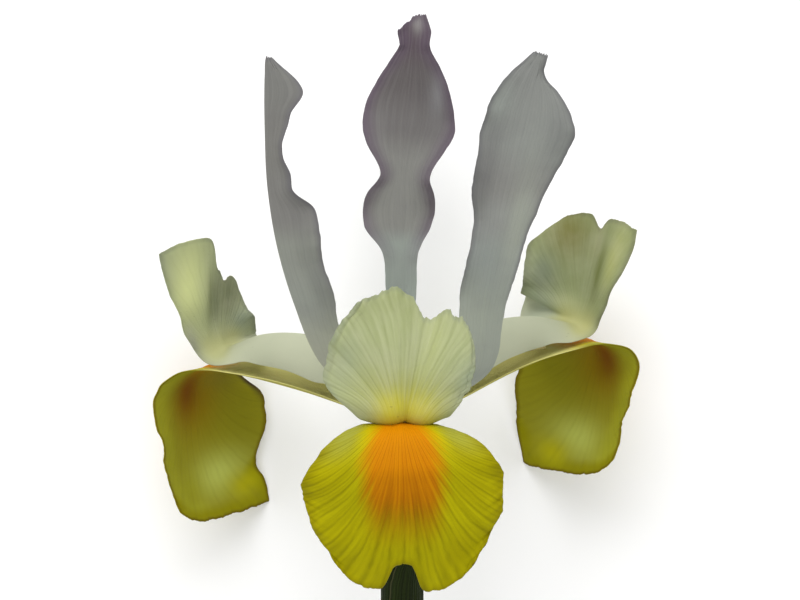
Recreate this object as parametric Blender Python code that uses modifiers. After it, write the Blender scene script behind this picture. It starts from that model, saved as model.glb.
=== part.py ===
"""One cut Dutch iris, lying on a surface with its front fall up. Metres, +Z up.

The bloom is worked out in its own frame, in millimetres: the origin is where the petals join, +Z runs up
the flower and -Y is the front, where the fall that faces the viewer hangs. The empty "flower" then lays the
whole bloom down, so that the two hind falls and the stem's cut end touch z = 0.
"""

import math

import bmesh
import bpy
import numpy as np
from mathutils import Matrix

MM = 0.001

# How the flower lies: found so that its three low points share one height, and its box is centred.
LIE_PITCH = 13.509  # degrees that the flower's axis rises above the surface
LIE_ROLL = -1.917  # degrees turned about its own axis
LIE_CENTRE = (0.351, 34.527, 40.292)  # the petals' joint, from the middle of the box's foot

PETAL_THICKNESS = 0.65
GAP = 0.3  # between pieces that touch on the real flower
PETAL_FOOT = 0.5  # a petal's midrib starts this high, so that its edge clears the rim by the gap

HUB_RADIUS = 5.2  # the perianth tube's rim, which carries the petals
HUB_DEPTH = 6.0
COLUMN_RADIUS = 1.6
COLUMN_TOP = 4.9
OVARY_RADIUS = 2.9
OVARY_BOTTOM = -33.0
STEM_RADIUS = 3.0
PEDICEL_RADIUS = 2.2
STEM_CUT = -160.0
SPATHE_FOOT = -96.0
SPATHE_THICKNESS = 0.6

BACK_LEFT, BACK_RIGHT = -120, 120  # azimuths, from the front towards the viewer's right


def smooth(stations, places):
    """A smooth curve through rows of (place, value, ...), read at the places given."""
    stations = np.asarray(stations, float)
    knots, values = stations[:, 0], stations[:, 1:]
    steps = np.diff(knots)[:, None]
    slopes = np.diff(values, axis=0) / steps
    middle = (slopes[:-1] * steps[1:] + slopes[1:] * steps[:-1]) / (steps[1:] + steps[:-1])
    tangents = np.vstack([slopes[:1], middle, slopes[-1:]])
    span = np.clip(np.searchsorted(knots, places) - 1, 0, len(knots) - 2)
    step = steps[span]
    s = np.clip((np.asarray(places)[..., None] - knots[span][..., None]) / step, 0, 1)
    rise = s * s * (3 - 2 * s)
    return (
        (1 - rise) * values[span]
        + rise * values[span + 1]
        + s * (1 - s) ** 2 * step * tangents[span]
        - s * s * (1 - s) * step * tangents[span + 1]
    )


def eased(value, start, end):
    s = np.clip((value - start) / (end - start), 0, 1)
    return s * s * (3 - 2 * s)


def midrib(points, count=400):
    """Arc lengths along the smooth curve through (sideways, outwards, up) points, and the curve itself."""
    points = np.asarray(points, float)
    knots = np.append(0, np.cumsum(np.linalg.norm(np.diff(points, axis=0), axis=1) ** 0.5))
    curve = smooth(np.column_stack([knots, points]), np.linspace(0, knots[-1], count))
    return np.append(0, np.cumsum(np.linalg.norm(np.diff(curve, axis=0), axis=1))), curve


def two_sided(stations, along, across):
    """A profile's value at each place along the petal, on the side that the point is on. Rows are
    (place, left, right), or (place, both)."""
    rows = [(row[0], row[1], row[-1]) for row in stations]
    both = smooth(rows, along)
    return np.where(across < 0, both[..., 0], both[..., 1])


def petal_points(petal, along, across):
    """Points of a petal's middle surface. along runs 0 to 1 from its foot, across -1 to 1 from its left edge.

    The midrib lies in the upright plane through the flower's axis. Each cross section is an arc on either
    side of it: width long, leaving the midrib at the crease angle and curling by the bend angle.
    """
    lengths, curve = midrib(petal["midrib"])
    total = lengths[-1]
    width = two_sided(petal["width"], along, across)
    bend = np.radians(two_sided(petal["bend"], along, across))
    crease = np.radians(two_sided(petal["crease"], along, across))
    twist = np.radians(two_sided(petal["twist"], along, across))

    place = total * along
    if "end" in petal:
        place = place - petal["end"](across, width) * eased(along, petal["end_from"], 1)
    place = np.clip(place, 0, total)

    def on_midrib(at):
        at = np.clip(at, 0, total)
        return np.stack([np.interp(at, lengths, curve[:, k]) for k in range(3)], -1)

    forward = on_midrib(place + 0.9) - on_midrib(place - 0.9)
    forward /= np.linalg.norm(forward, axis=-1, keepdims=True)
    sideways = np.array([1.0, 0, 0]) - forward[..., :1] * forward
    sideways /= np.linalg.norm(sideways, axis=-1, keepdims=True)
    outwards_is_front = np.array([1.0, -1.0, 1.0])
    centre = on_midrib(place) * outwards_is_front
    forward = forward * outwards_is_front
    sideways = sideways * outwards_is_front
    upper = np.cross(forward, sideways)

    cos, sin = np.cos(twist)[..., None], np.sin(twist)[..., None]
    sideways, upper = sideways * cos + upper * sin, upper * cos - sideways * sin
    curl = np.where(np.abs(bend) < 1e-3, 1e-3, bend)
    turned = crease + curl * np.abs(across)
    reach = np.sign(across) * width * (np.sin(turned) - np.sin(crease)) / curl
    lift = width * (np.cos(crease) - np.cos(turned)) / curl + waves(petal, along, across)
    points = centre + sideways * reach[..., None] + upper * lift[..., None]

    azimuth = math.radians(petal["azimuth"])
    turn = np.array(
        [
            [math.cos(azimuth), -math.sin(azimuth), 0],
            [math.sin(azimuth), math.cos(azimuth), 0],
            [0, 0, 1],
        ]
    )
    return points @ turn.T


def waves(petal, along, across):
    """Lift of a waved edge: rows of (left height, right height, waves, left phase, right phase, from)."""
    lift = np.zeros_like(along)
    for left, right, count, left_phase, right_phase, start in petal.get("waves", ()):
        height = np.where(across < 0, left, right) * across**2
        phase = count * along + np.where(across < 0, left_phase, right_phase)
        lift = lift + height * np.clip((along - start) / 0.12, 0, 1) * np.sin(2 * math.pi * phase)
    return lift


def notched(depth, half, left, right, power=4):
    """A petal's end: a notch at the midrib, and each corner rounded off by so much."""

    def cut(across, width):
        corner = np.where(across < 0, left, right) * np.abs(across) ** power
        return depth * np.exp(-((across * width / half) ** 4)) + corner

    return cut


def slanted(middle, slope, left, right):
    """A petal's end cut askew: deeper to one side, with each corner rounded off by so much."""

    def cut(across, width):
        return middle + slope * across + np.where(across < 0, left, right) * across**4

    return cut


def two_lobed(depth, half, left, right, left_drop=0, right_drop=0):
    """A crest's end: a cleft at the midrib between two round lobes, either of which may be shorter."""

    def cut(across, width):
        drop = np.where(across < 0, left_drop, right_drop) * (1 - np.exp(-((across / 0.25) ** 2)))
        corner = np.where(across < 0, left, right) * np.abs(across) ** 3
        return depth * np.exp(-((across * width / half) ** 2)) + drop + corner

    return cut


def fall(azimuth, midrib, width, bend, end, waves):
    """A fall: a narrow haft that runs out level, and a broad blade that hangs from its end."""
    haft = [(0, 2.0), (0.08, 3.2), (0.3, 4.4)]
    cupped = [(0, 20), (0.08, 30), (0.3, 35)]
    return {
        "azimuth": azimuth,
        "midrib": [(0, 4.6, PETAL_FOOT), (0, 4.9, 2.0)] + midrib,
        "width": haft + width,
        "bend": cupped + bend,
        "crease": [(0, 0), (1, 0)],
        "twist": [(0, 0), (1, 0)],
        "end": end,
        "end_from": 0.6,
        "waves": waves,
        "cells": (12, 24),
    }


def standard(azimuth, midrib, width, bend, twist, waves, end=None, crease=0):
    """A standard: a narrow claw, and an upright blade that widens towards its top."""
    petal = {
        "azimuth": azimuth,
        "midrib": [(0, 3.9, PETAL_FOOT)] + midrib,
        "width": [(0, 1.6), (0.1, 2.4)] + width,
        "bend": [(0, 20), (0.1, 25)] + bend,
        "crease": [(0, 0), (0.5, crease), (1, crease)],
        "twist": [(0, 0)] + twist,
        "waves": waves,
        "cells": (8, 24),
    }
    if end:
        petal.update(end=end, end_from=0.9)
    return petal


def style_arm(azimuth, midrib, width, bend, crease, end, twist=((0, 0), (1, 0))):
    """A style arm: a roof over the fall's haft, which turns up at its end into a crest of two lobes."""
    return {
        "azimuth": azimuth,
        "midrib": [(0, 2.0, COLUMN_TOP + PETAL_FOOT), (0, 3.2, 9)] + midrib,
        "width": [(0, 1.6), (0.06, 3.2), (0.15, 7.5)] + width,
        "bend": [(0, -50), (0.1, -70), (0.25, -92), (0.4, -92)] + bend,
        "crease": [(0, -10), (0.3, -15)] + crease,
        "twist": twist,
        "end": end,
        "end_from": 0.66,
        "cells": (12, 26),
    }


PETALS = {
    "fall_front": fall(
        azimuth=0,
        midrib=[(0, 8, 4.0), (0, 16, 5.9), (0, 28, 8.4), (0, 38, 11.2), (0, 43.5, 13.3), (0.2, 48.6, 12.8)]
        + [(0.5, 52, 8), (0.8, 53, 1.5), (0.8, 52.5, -6), (0.6, 50.8, -12.5), (0.4, 49, -17)],
        width=[(0.5, 6.2), (0.56, 9, 8.6), (0.62, 14, 13.8), (0.7, 18.2, 18), (0.78, 19.2, 18.6)]
        + [(0.86, 18.2), (0.93, 16.2, 16), (1, 12.8)],
        bend=[(0.46, 16), (0.52, -2), (0.58, -6), (0.66, -14), (0.78, -26), (0.9, -22), (1, -10)],
        end=notched(depth=6.3, half=2.9, left=5.5, right=6.5),
        waves=[(0.5, 0.5, 6, 0, 0.3, 0.6)],
    ),
    "fall_left": fall(
        azimuth=BACK_LEFT,
        midrib=[(0, 8, 4.0), (0, 16, 5.9), (0, 28, 7.8), (0, 38, 9.1), (0, 43, 9.6), (0.2, 47.3, 8.8)]
        + [(0.6, 49.8, 5.2), (1, 50, -1), (1, 48.5, -10), (0.6, 46, -17.5), (0, 43, -23), (-0.4, 41.2, -26.8)],
        width=[(0.474, 6.6), (0.531, 10), (0.588, 16, 14.6), (0.664, 19.6, 16.6), (0.739, 19.6, 16.7)]
        + [(0.815, 17, 17.2), (0.88, 14.8, 17.1), (0.948, 15.8, 15.9), (1, 15.6, 14.8)],
        bend=[(0.455, 12), (0.531, -10, 8), (0.626, -32, -8), (0.739, -34, -22), (0.853, -28, -22)]
        + [(0.948, -14, -16), (1, -6, -14)],
        end=slanted(middle=4, slope=2.6, left=0.5, right=3),
        waves=[(0.35, 0.25, 6, 0.1, 0.3, 0.6)],
    ),
    "fall_right": fall(
        azimuth=BACK_RIGHT,
        midrib=[(0, 8, 4.3), (0, 16, 7.2), (0, 28, 11.4), (0, 38, 14.2), (0, 43, 15.2), (0, 47, 14.3)]
        + [(0, 48.9, 10.4), (0, 48.7, 3), (0, 47.2, -5.4), (0, 44.6, -13), (0, 42.9, -18)],
        width=[(0.474, 6.6), (0.531, 10), (0.588, 13.8, 17), (0.664, 14.1, 20.4), (0.739, 14.4, 21.6)]
        + [(0.815, 13.4, 21.9), (0.882, 12, 21.8), (0.948, 11.2, 20.6), (1, 10.8, 19.8)],
        bend=[(0.455, 12), (0.531, 12, -10), (0.626, 0, -42), (0.739, -18, -46), (0.853, -18, -34)]
        + [(0.948, -12, -16), (1, -10, -8)],
        end=slanted(middle=4, slope=-3, left=3, right=0.8),
        waves=[(0.25, 0.35, 6, 0.6, 0.2, 0.6)],
    ),
    "standard_back": standard(
        azimuth=180,
        midrib=[(0, 4, 4), (0, 6.5, 10), (0, 10.5, 20), (0, 15, 32), (0, 18.5, 44), (-0.8, 21.5, 56)]
        + [(-2.2, 24.5, 68), (-2.8, 26.5, 77), (-3.4, 28, 83)],
        width=[(0.34, 3.5, 3), (0.44, 4.3), (0.49, 6.8, 7.7), (0.525, 8, 8.5), (0.56, 7.2), (0.6, 6, 4.6)]
        + [(0.68, 8.7, 7.8), (0.73, 10.6, 9.6), (0.78, 10.5, 9.8), (0.83, 8.5, 7.9), (0.88, 5.6, 5)]
        + [(0.92, 3.5, 3), (0.96, 3.6, 3.1), (1, 2.1, 3.8)],
        bend=[(0.34, 25), (0.44, 5), (0.525, -45), (0.6, 20), (0.66, 10), (0.76, -42), (0.86, -30)]
        + [(0.93, 20), (1, 45)],
        twist=[(1, 0)],
        end=lambda across, width: np.where(across > 0, 4 * across, 0),
        waves=[],
    ),
    "standard_left": standard(
        azimuth=-60,
        midrib=[(0, 4.2, 4), (0, 9.2, 10), (0, 17.6, 17), (0, 23.2, 29), (0, 27, 41), (0, 29, 53)]
        + [(0, 29.4, 65), (0, 29.3, 78)],
        width=[(0.25, 5, 7), (0.37, 8, 9), (0.47, 9, 11), (0.52, 9, 10.4), (0.6, 9, 11.6), (0.66, 8, 10.6)]
        + [(0.7, 8, 8.2), (0.745, 8, 7.6), (0.79, 8, 6.6), (0.84, 8.5, 7), (0.88, 8.5, 8), (0.93, 7.5, 10)]
        + [(0.965, 4.5, 7.5), (1, 1.2, 1.8)],
        bend=[(0.3, 30, 64), (0.47, 30, 64), (0.6, 30, 68), (0.665, 30, 72), (0.7, 30, 40), (0.745, 30, 38)]
        + [(0.79, 30, 16), (0.84, 30, 26), (0.88, 30, 38), (0.93, 30, 57), (1, 20, 40)],
        twist=[(0.3, -8), (0.6, -14), (1, -14)],
        waves=[],
        crease=4,
    ),
    "standard_right": standard(
        azimuth=60,
        midrib=[(0, 4.2, 4), (0, 9.5, 8.5), (0, 17, 15.2), (0, 19.2, 28.5), (-0.3, 22.6, 44)]
        + [(-0.3, 27.4, 63.5), (0, 31.2, 78.8)],
        width=[(0.24, 4.2), (0.4, 4.9, 4.7), (0.5, 5.4, 5.5), (0.56, 5.2, 5.9), (0.6, 5.4, 6.1)]
        + [(0.64, 6.6, 6.6), (0.7, 7.5, 7.4), (0.75, 7.7, 8.4), (0.8, 8.1, 9.3), (0.84, 8.1, 9.8)]
        + [(0.87, 8.2, 8.8), (0.9, 7.4, 6.8), (0.925, 6.5, 4.4), (0.94, 5.6, 2.4), (1, 1.6, 1.2)],
        bend=[(0.3, 25), (0.5, 30), (0.7, 12), (0.85, -25), (1, -10)],
        twist=[(0.1, -10), (0.3, -40), (0.5, -52), (0.7, -56), (1, -58)],
        waves=[(0.7, 0.5, 5, 0.2, 0.5, 0.3)],
    ),
    "style_arm_front": style_arm(
        azimuth=0,
        midrib=[(0, 7.5, 13.8), (0, 14, 17), (0, 24, 18.6), (0, 33, 17.8), (0, 38.6, 15.8), (0.8, 43.4, 14.6)]
        + [(1.3, 45.2, 16.2), (2.2, 45.4, 21), (3.4, 45, 27), (4.6, 44.2, 33), (5.2, 43.6, 38.9)],
        width=[(0.25, 10.6), (0.4, 9.6), (0.5, 7.2), (0.57, 5), (0.625, 6.2, 5), (0.655, 9.6, 6.2)]
        + [(0.69, 14, 7.8), (0.73, 16.1, 9), (0.8, 16.3, 10.2), (0.87, 16, 10.6), (0.94, 14.6, 10.4)]
        + [(1, 13, 9.6)],
        bend=[(0.5, -78), (0.56, -45), (0.6, 5), (0.655, 30), (0.7, 26), (0.78, 24), (0.88, 10), (1, -10)],
        crease=[(0.56, -15), (0.62, -16), (0.68, -12), (0.74, -12), (0.82, -14), (1, -8)],
        end=two_lobed(depth=5.4, half=2.6, left=3.8, right=4.5, right_drop=3),
    ),
    "style_arm_left": style_arm(
        azimuth=BACK_LEFT,
        midrib=[(0, 7.5, 13.8), (0, 14, 17.4), (0, 24, 18.4), (0, 33, 17.2), (0, 39, 14.8), (0, 42.2, 13.8)]
        + [(0, 44, 17.6), (0, 44.2, 25), (0, 43.4, 31.5), (0, 42.3, 37.4)],
        width=[(0.25, 10.2), (0.4, 9), (0.53, 7), (0.58, 6.6, 5.8), (0.62, 10, 6), (0.655, 10.6, 6.4)]
        + [(0.69, 9.8, 8), (0.73, 9, 9.6), (0.8, 8.2, 11), (0.87, 7.2, 12.8), (0.94, 6.4, 14.4), (1, 5.4, 15.4)],
        bend=[(0.53, -80), (0.58, -60, -55), (0.62, -16, -38), (0.655, 0, -14), (0.7, 10), (0.78, 24)]
        + [(0.88, 10), (1, -10)],
        crease=[(0.6, -15), (0.64, 0, -12), (0.68, 2, -8), (0.75, 6, -10), (1, 0, 0)],
        twist=[(0, 0), (0.6, 0), (0.72, -12), (1, -18)],
        end=two_lobed(depth=7.4, half=1.9, left=2.5, right=3.4, left_drop=8),
    ),
    "style_arm_right": style_arm(
        azimuth=BACK_RIGHT,
        midrib=[(0, 7.5, 14.2), (0, 14, 19.2), (0, 24, 21.4), (0, 33, 21), (0, 39, 19.4), (0, 42.4, 19)]
        + [(0, 44.4, 22.4), (0, 46, 28.4), (0, 47.6, 35), (0, 49.2, 41.2)],
        width=[(0.25, 10.2), (0.4, 9.2), (0.53, 7), (0.58, 6, 7.6), (0.62, 5.8, 15), (0.655, 5.8, 18)]
        + [(0.69, 6.6, 15.4), (0.73, 8.6, 14.4), (0.8, 11.4, 14.2), (0.87, 12.4, 14.8), (0.94, 12.4, 15.2)]
        + [(1, 11.2, 12)],
        bend=[(0.53, -80), (0.58, -55, -60), (0.62, -38, -16), (0.655, -14, 0), (0.7, 10), (0.78, 24)]
        + [(0.88, 10), (1, -10)],
        crease=[(0.6, -15), (0.64, -4, -10), (0.66, 5, -8), (0.69, 16, -2), (0.76, 26, 0), (1, 30, 0)],
        twist=[(0, 0), (0.58, 0), (0.7, 24), (0.8, 30), (1, 30)],
        end=two_lobed(depth=2.6, half=1.7, left=1.4, right=5),
    ),
}

INNER_SPATHE_RADIUS = STEM_RADIUS + GAP + SPATHE_THICKNESS / 2 + 0.05
OUTER_SPATHE_RADIUS = INNER_SPATHE_RADIUS + SPATHE_THICKNESS + GAP
SPATHES = {  # the two green bracts that sheathe the ovary
    "spathe_outer": {"azimuth": 75, "radius": OUTER_SPATHE_RADIUS, "half_angle": 105, "tip": -17.0},
    "spathe_inner": {"azimuth": -105, "radius": INNER_SPATHE_RADIUS, "half_angle": 110, "tip": -9.0},
}

STAMENS = {"stamen_front": (0, 0.0), "stamen_left": (BACK_LEFT, 0.0), "stamen_right": (BACK_RIGHT, 2.0)}

COLOURS = {  # base colour, roughness
    "fall": ((0.42, 0.34, 0.01), 0.55),
    "standard": ((0.20, 0.18, 0.19), 0.6),
    "style_arm": ((0.48, 0.52, 0.26), 0.55),
    "style_column": ((0.50, 0.52, 0.28), 0.55),
    "stamen": ((0.60, 0.55, 0.30), 0.8),
    "perianth_tube": ((0.16, 0.22, 0.06), 0.55),
    "ovary": ((0.05, 0.09, 0.02), 0.5),
    "spathe": ((0.03, 0.05, 0.01), 0.6),
    "stem": ((0.03, 0.05, 0.01), 0.5),
}


def material_for(name):
    """One Principled material for each node, with its kind's colour."""
    kind = next(kind for kind in COLOURS if name.startswith(kind))
    colour, roughness = COLOURS[kind]
    material = bpy.data.materials.new(name)
    material.use_nodes = True
    shader = material.node_tree.nodes["Principled BSDF"]
    shader.inputs["Base Color"].default_value = (*colour, 1)
    shader.inputs["Roughness"].default_value = roughness
    shader.inputs["Metallic"].default_value = 0
    return material


def place(obj, collection, flower):
    collection.objects.link(obj)
    obj.data.materials.append(material_for(obj.name))
    obj.parent = flower
    return obj


def sheet(name, cells, points_at, thickness):
    """A thin piece: a grid of triangles moved to points_at(along, across), made solid on both sides."""
    mesh = bpy.data.meshes.new(name)
    form = bmesh.new()
    bmesh.ops.create_grid(form, x_segments=cells[0], y_segments=cells[1], size=1)
    grid = np.array([vertex.co[:] for vertex in form.verts])
    bunched = (grid[:, 1] + 1) / 2
    along = bunched + 0.12 * np.sin(math.pi * bunched)  # rows closer together towards the end
    for vertex, point in zip(form.verts, points_at(along, grid[:, 0]) * MM):
        vertex.co = point
    bmesh.ops.triangulate(form, faces=form.faces)
    form.to_mesh(mesh)
    form.free()
    obj = bpy.data.objects.new(name, mesh)
    solid = obj.modifiers.new("thickness", "SOLIDIFY")
    solid.thickness = thickness * MM
    solid.offset = 0
    return obj


def petal(name, shape):
    return sheet(name, shape["cells"], lambda along, across: petal_points(shape, along, across), PETAL_THICKNESS)


def spathe(name, azimuth, radius, half_angle, tip):
    """A bract rolled round the stem and ovary: closed to its foot, and drawn to a point at its tip."""

    def points_at(along, across):
        height = SPATHE_FOOT + (tip - SPATHE_FOOT) * along
        narrowing = np.sqrt(np.clip(1 - eased(along, 0.45, 1.0) ** 2, 0.004, 1))
        angle = math.radians(azimuth) + np.radians(half_angle) * across * narrowing
        return np.stack([radius * np.sin(angle), -radius * np.cos(angle), height], -1)

    return sheet(name, (10, 14), points_at, SPATHE_THICKNESS)


def turned(name, profile, segments=20):
    """A turned solid from (radius, height) points, highest first, closed on the axis."""
    mesh = bpy.data.meshes.new(name)
    outline = bmesh.new()
    ends = [(0, profile[0][1])] + profile + [(0, profile[-1][1])]
    points = [outline.verts.new((radius * MM, 0, height * MM)) for radius, height in ends]
    for first, second in zip(points, points[1:]):
        outline.edges.new((first, second))
    outline.to_mesh(mesh)
    outline.free()
    obj = bpy.data.objects.new(name, mesh)
    screw = obj.modifiers.new("turn", "SCREW")
    screw.steps = screw.render_steps = segments
    screw.use_merge_vertices = True
    screw.merge_threshold = 1e-5
    return obj


def rod(name, points, thickness=1.0, bevel_resolution=2):
    """A round rod along (x, y, z, radius) points."""
    curve = bpy.data.curves.new(name, "CURVE")
    curve.dimensions = "3D"
    curve.bevel_depth = thickness * MM
    curve.bevel_resolution = bevel_resolution
    curve.use_fill_caps = True
    spline = curve.splines.new("POLY")
    spline.points.add(len(points) - 1)
    for target, (x, y, z, radius) in zip(spline.points, points):
        target.co = (x * MM, y * MM, z * MM, 1)
        target.radius = radius / thickness
    return bpy.data.objects.new(name, curve)


def stem():
    """The cut stem, which thins into the stalk that carries the ovary inside the bracts."""
    shoulder = SPATHE_FOOT - 3
    profile = [
        (PEDICEL_RADIUS, OVARY_BOTTOM - GAP),
        (PEDICEL_RADIUS, SPATHE_FOOT + 20),
        (STEM_RADIUS, SPATHE_FOOT + 6),
        (STEM_RADIUS, SPATHE_FOOT - 0.5),
        (STEM_RADIUS + 0.7, shoulder),
        (STEM_RADIUS, shoulder - 4),
        (STEM_RADIUS, STEM_CUT),
    ]
    return turned("stem", profile)


def ovary():
    """The seed pod to be: a spindle with three rounded angles."""
    mesh = bpy.data.meshes.new("ovary")
    form = bmesh.new()
    bmesh.ops.create_uvsphere(form, u_segments=18, v_segments=12, radius=1)
    top = -HUB_DEPTH - GAP
    for vertex in form.verts:
        x, y, z = vertex.co
        angle = math.atan2(y, x)
        girth = OVARY_RADIUS * (1 + 0.07 * math.cos(3 * (angle - math.radians(90))))
        blunt = max(1e-6, math.hypot(x, y)) ** -0.35  # fuller than a sphere towards its ends
        height = (z + 1) / 2 * (top - OVARY_BOTTOM) + OVARY_BOTTOM
        vertex.co = (x * blunt * girth * MM, y * blunt * girth * MM, height * MM)
    form.to_mesh(mesh)
    form.free()
    return bpy.data.objects.new("ovary", mesh)


def perianth_tube():
    """The short funnel between the ovary and the petals."""
    return turned(
        "perianth_tube",
        [(HUB_RADIUS, 0), (HUB_RADIUS, -0.5), (4.6, -1.0), (3.4, -2.6), (2.5, 1.2 - HUB_DEPTH), (2.0, -HUB_DEPTH)],
    )


def style_column():
    return turned("style_column", [(2.3, COLUMN_TOP), (COLUMN_RADIUS, 3.6), (COLUMN_RADIUS, GAP)], segments=14)


def stamen(name, azimuth, rise):
    """A stalk out of the hub, and a long anther under the style arm."""
    route = [
        (3.2, GAP, 0.5),
        (3.4, 2.0, 0.5),
        (4.5, 5.0, 0.5),
        (7.0, 8.4, 0.5),
        (11.0, 11.0 + rise / 2, 0.5),
        (17.0, 12.5 + rise, 0.5),
        (20.0, 13.0 + rise, 0.6),
        (22.0, 13.1 + rise, 1.0),
        (28.0, 13.2 + rise, 1.15),
        (33.0, 12.9 + rise, 0.9),
        (35.0, 12.6 + rise, 0.3),
    ]
    away = math.radians(azimuth)
    return rod(name, [(out * math.sin(away), -out * math.cos(away), up, radius) for out, up, radius in route])


def main():
    for obj in list(bpy.data.objects):
        bpy.data.objects.remove(obj)
    collection = bpy.data.collections.new("iris flower")
    bpy.context.scene.collection.children.link(collection)

    flower = bpy.data.objects.new("flower", None)
    collection.objects.link(flower)
    flower.matrix_world = (
        Matrix.Translation([value * MM for value in LIE_CENTRE])
        @ Matrix.Rotation(math.radians(LIE_PITCH - 90), 4, "X")
        @ Matrix.Rotation(math.radians(LIE_ROLL), 4, "Z")
    )

    pieces = [stem(), ovary(), perianth_tube(), style_column()]
    pieces += [petal(name, shape) for name, shape in PETALS.items()]
    pieces += [spathe(name, **shape) for name, shape in SPATHES.items()]
    pieces += [stamen(name, azimuth, rise) for name, (azimuth, rise) in STAMENS.items()]
    for piece in pieces:
        place(piece, collection, flower)


main()
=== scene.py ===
"""The looks of one cut Dutch iris, which lies on a pale floor with its front fall up.

Each petal is a surface worked out from the same design as the construction: a midrib in the upright plane
through the flower's axis, and cross sections that are arcs on either side of it. Here each one gets its fine
form too: toothed margins, ruffles, ribs over the veins, a keel, and a blade that thins towards its edge.

Shapes are worked out in the flower's own frame, in millimetres: the origin is where the petals join, +Z runs
up the flower, and -Y is the front. in_place() then lays them down as the construction lies.
"""

import math

import bpy
import numpy as np
from mathutils import Matrix, Vector


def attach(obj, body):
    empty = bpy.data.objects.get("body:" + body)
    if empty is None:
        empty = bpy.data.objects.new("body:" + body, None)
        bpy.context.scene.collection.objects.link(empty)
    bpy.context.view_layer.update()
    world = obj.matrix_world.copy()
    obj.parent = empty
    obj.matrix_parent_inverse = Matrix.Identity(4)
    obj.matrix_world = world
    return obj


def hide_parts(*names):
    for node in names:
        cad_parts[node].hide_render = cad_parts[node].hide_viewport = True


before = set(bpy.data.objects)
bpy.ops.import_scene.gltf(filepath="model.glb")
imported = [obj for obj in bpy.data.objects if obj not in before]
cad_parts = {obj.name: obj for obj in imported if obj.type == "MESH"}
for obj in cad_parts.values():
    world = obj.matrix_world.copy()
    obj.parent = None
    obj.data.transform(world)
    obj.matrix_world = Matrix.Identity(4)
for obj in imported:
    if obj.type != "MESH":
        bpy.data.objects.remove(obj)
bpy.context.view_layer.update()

MM = 0.001
TURN = 2 * math.pi

# How the flower lies, as in the construction.
LIE_PITCH = 13.509  # degrees that the flower's axis rises above the floor
LIE_ROLL = -1.917  # degrees turned about its own axis
LIE_CENTRE = (0.351, 34.527, 40.292)  # the petals' joint, from the middle of the box's foot
LIE = (
    Matrix.Translation([value * MM for value in LIE_CENTRE])
    @ Matrix.Rotation(math.radians(LIE_PITCH - 90), 4, "X")
    @ Matrix.Rotation(math.radians(LIE_ROLL), 4, "Z")
)

# Sizes that the construction sets, in millimetres.
GAP = 0.3
PETAL_FOOT = 0.5
HUB_DEPTH = 6.0
COLUMN_RADIUS = 1.6
COLUMN_TOP = 4.9
OVARY_RADIUS = 2.9
OVARY_BOTTOM = -33.0
STEM_RADIUS = 3.0
PEDICEL_RADIUS = 2.2
STEM_CUT = -160.0
SPATHE_FOOT = -96.0
SPATHE_THICKNESS = 0.6
INNER_SPATHE_RADIUS = STEM_RADIUS + GAP + SPATHE_THICKNESS / 2 + 0.05
OUTER_SPATHE_RADIUS = INNER_SPATHE_RADIUS + SPATHE_THICKNESS + GAP

BACK_LEFT, BACK_RIGHT = -120, 120  # azimuths, from the front towards the viewer's right

# The fine form of the petals.
BLADE_THICKNESS = 0.5  # in the middle of a petal
RIM_THICKNESS = 0.16  # at its margin
THINNING = 1.6  # how far in from the margin the blade thins
KEEL_HALF_WIDTH = 0.9
END_CROWDING = 0.12  # rows of points stand this much closer together at a petal's end
MARGIN_CROWDING = 0.3  # and its columns this much closer together at its margins
TANGENT_STEP = 0.9  # the midrib's direction is taken this far to each side of a point
TEETH_FADE_IN = 0.12  # share of the length over which the margin's teeth grow
END_TEETH_FROM = 0.86  # share of the length after which the end's margin moves in, with teeth
END_SET_BACK = 0.7  # how far that margin lies back, in teeth
KEEL_FADES = (0.5, 0.9)  # shares of the length between which the keel goes
END_IS_FARTHER = 1.4  # a petal's end counts as a margin this many times as far off
FLAT_BEND = 1e-3  # radians under which an arc is taken to have this bend

CAMERA_RISE = 11.0  # degrees above the petals' level, as the camera looks at the upright flower
CAMERA_DISTANCE = 480.0
CAMERA_AIM = 28.0  # height on the flower's axis that the camera points at
CAMERA_LENS = 108.0

WORLD_STRENGTH = 0.9
KEY_POWER = 7.0  # watts
KEY_SIZE = 0.8  # metres
KEY_PLACE = (-0.15, 0.75, 0.75)
FLOOR_SIZE = 6.0
WHITE = (1.0, 1.0, 1.0, 1.0)


# ---------------------------------------------------------------- curves and profiles


def smooth(stations, places):
    """A smooth curve through rows of (place, value, ...), read at the places given."""
    stations = np.asarray(stations, float)
    knots, values = stations[:, 0], stations[:, 1:]
    steps = np.diff(knots)[:, None]
    slopes = np.diff(values, axis=0) / steps
    middle = (slopes[:-1] * steps[1:] + slopes[1:] * steps[:-1]) / (steps[1:] + steps[:-1])
    tangents = np.vstack([slopes[:1], middle, slopes[-1:]])
    span = np.clip(np.searchsorted(knots, places) - 1, 0, len(knots) - 2)
    step = steps[span]
    s = np.clip((np.asarray(places)[..., None] - knots[span][..., None]) / step, 0, 1)
    rise = s * s * (3 - 2 * s)
    return (
        (1 - rise) * values[span]
        + rise * values[span + 1]
        + s * (1 - s) ** 2 * step * tangents[span]
        - s * s * (1 - s) * step * tangents[span + 1]
    )


def eased(value, start, end):
    """0 before start and 1 after end, with a smooth rise between."""
    s = np.clip((value - start) / (end - start), 0, 1)
    return s * s * (3 - 2 * s)


def hump(value, centre, spread):
    """1 at the centre, falling away on both sides as a bell."""
    return np.exp(-(((value - centre) / spread) ** 2))


def run_along(points, power=1):
    """How far each point lies along the path, as the sum of the steps' lengths to this power."""
    return np.append(0, np.cumsum(np.linalg.norm(np.diff(points, axis=0), axis=1) ** power))


def midrib(points, count=400):
    """Arc lengths along the smooth curve through (sideways, outwards, up) points, and the curve itself."""
    knots = run_along(points, 0.5)
    curve = smooth(np.column_stack([knots, points]), np.linspace(0, knots[-1], count))
    return run_along(curve), curve


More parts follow.
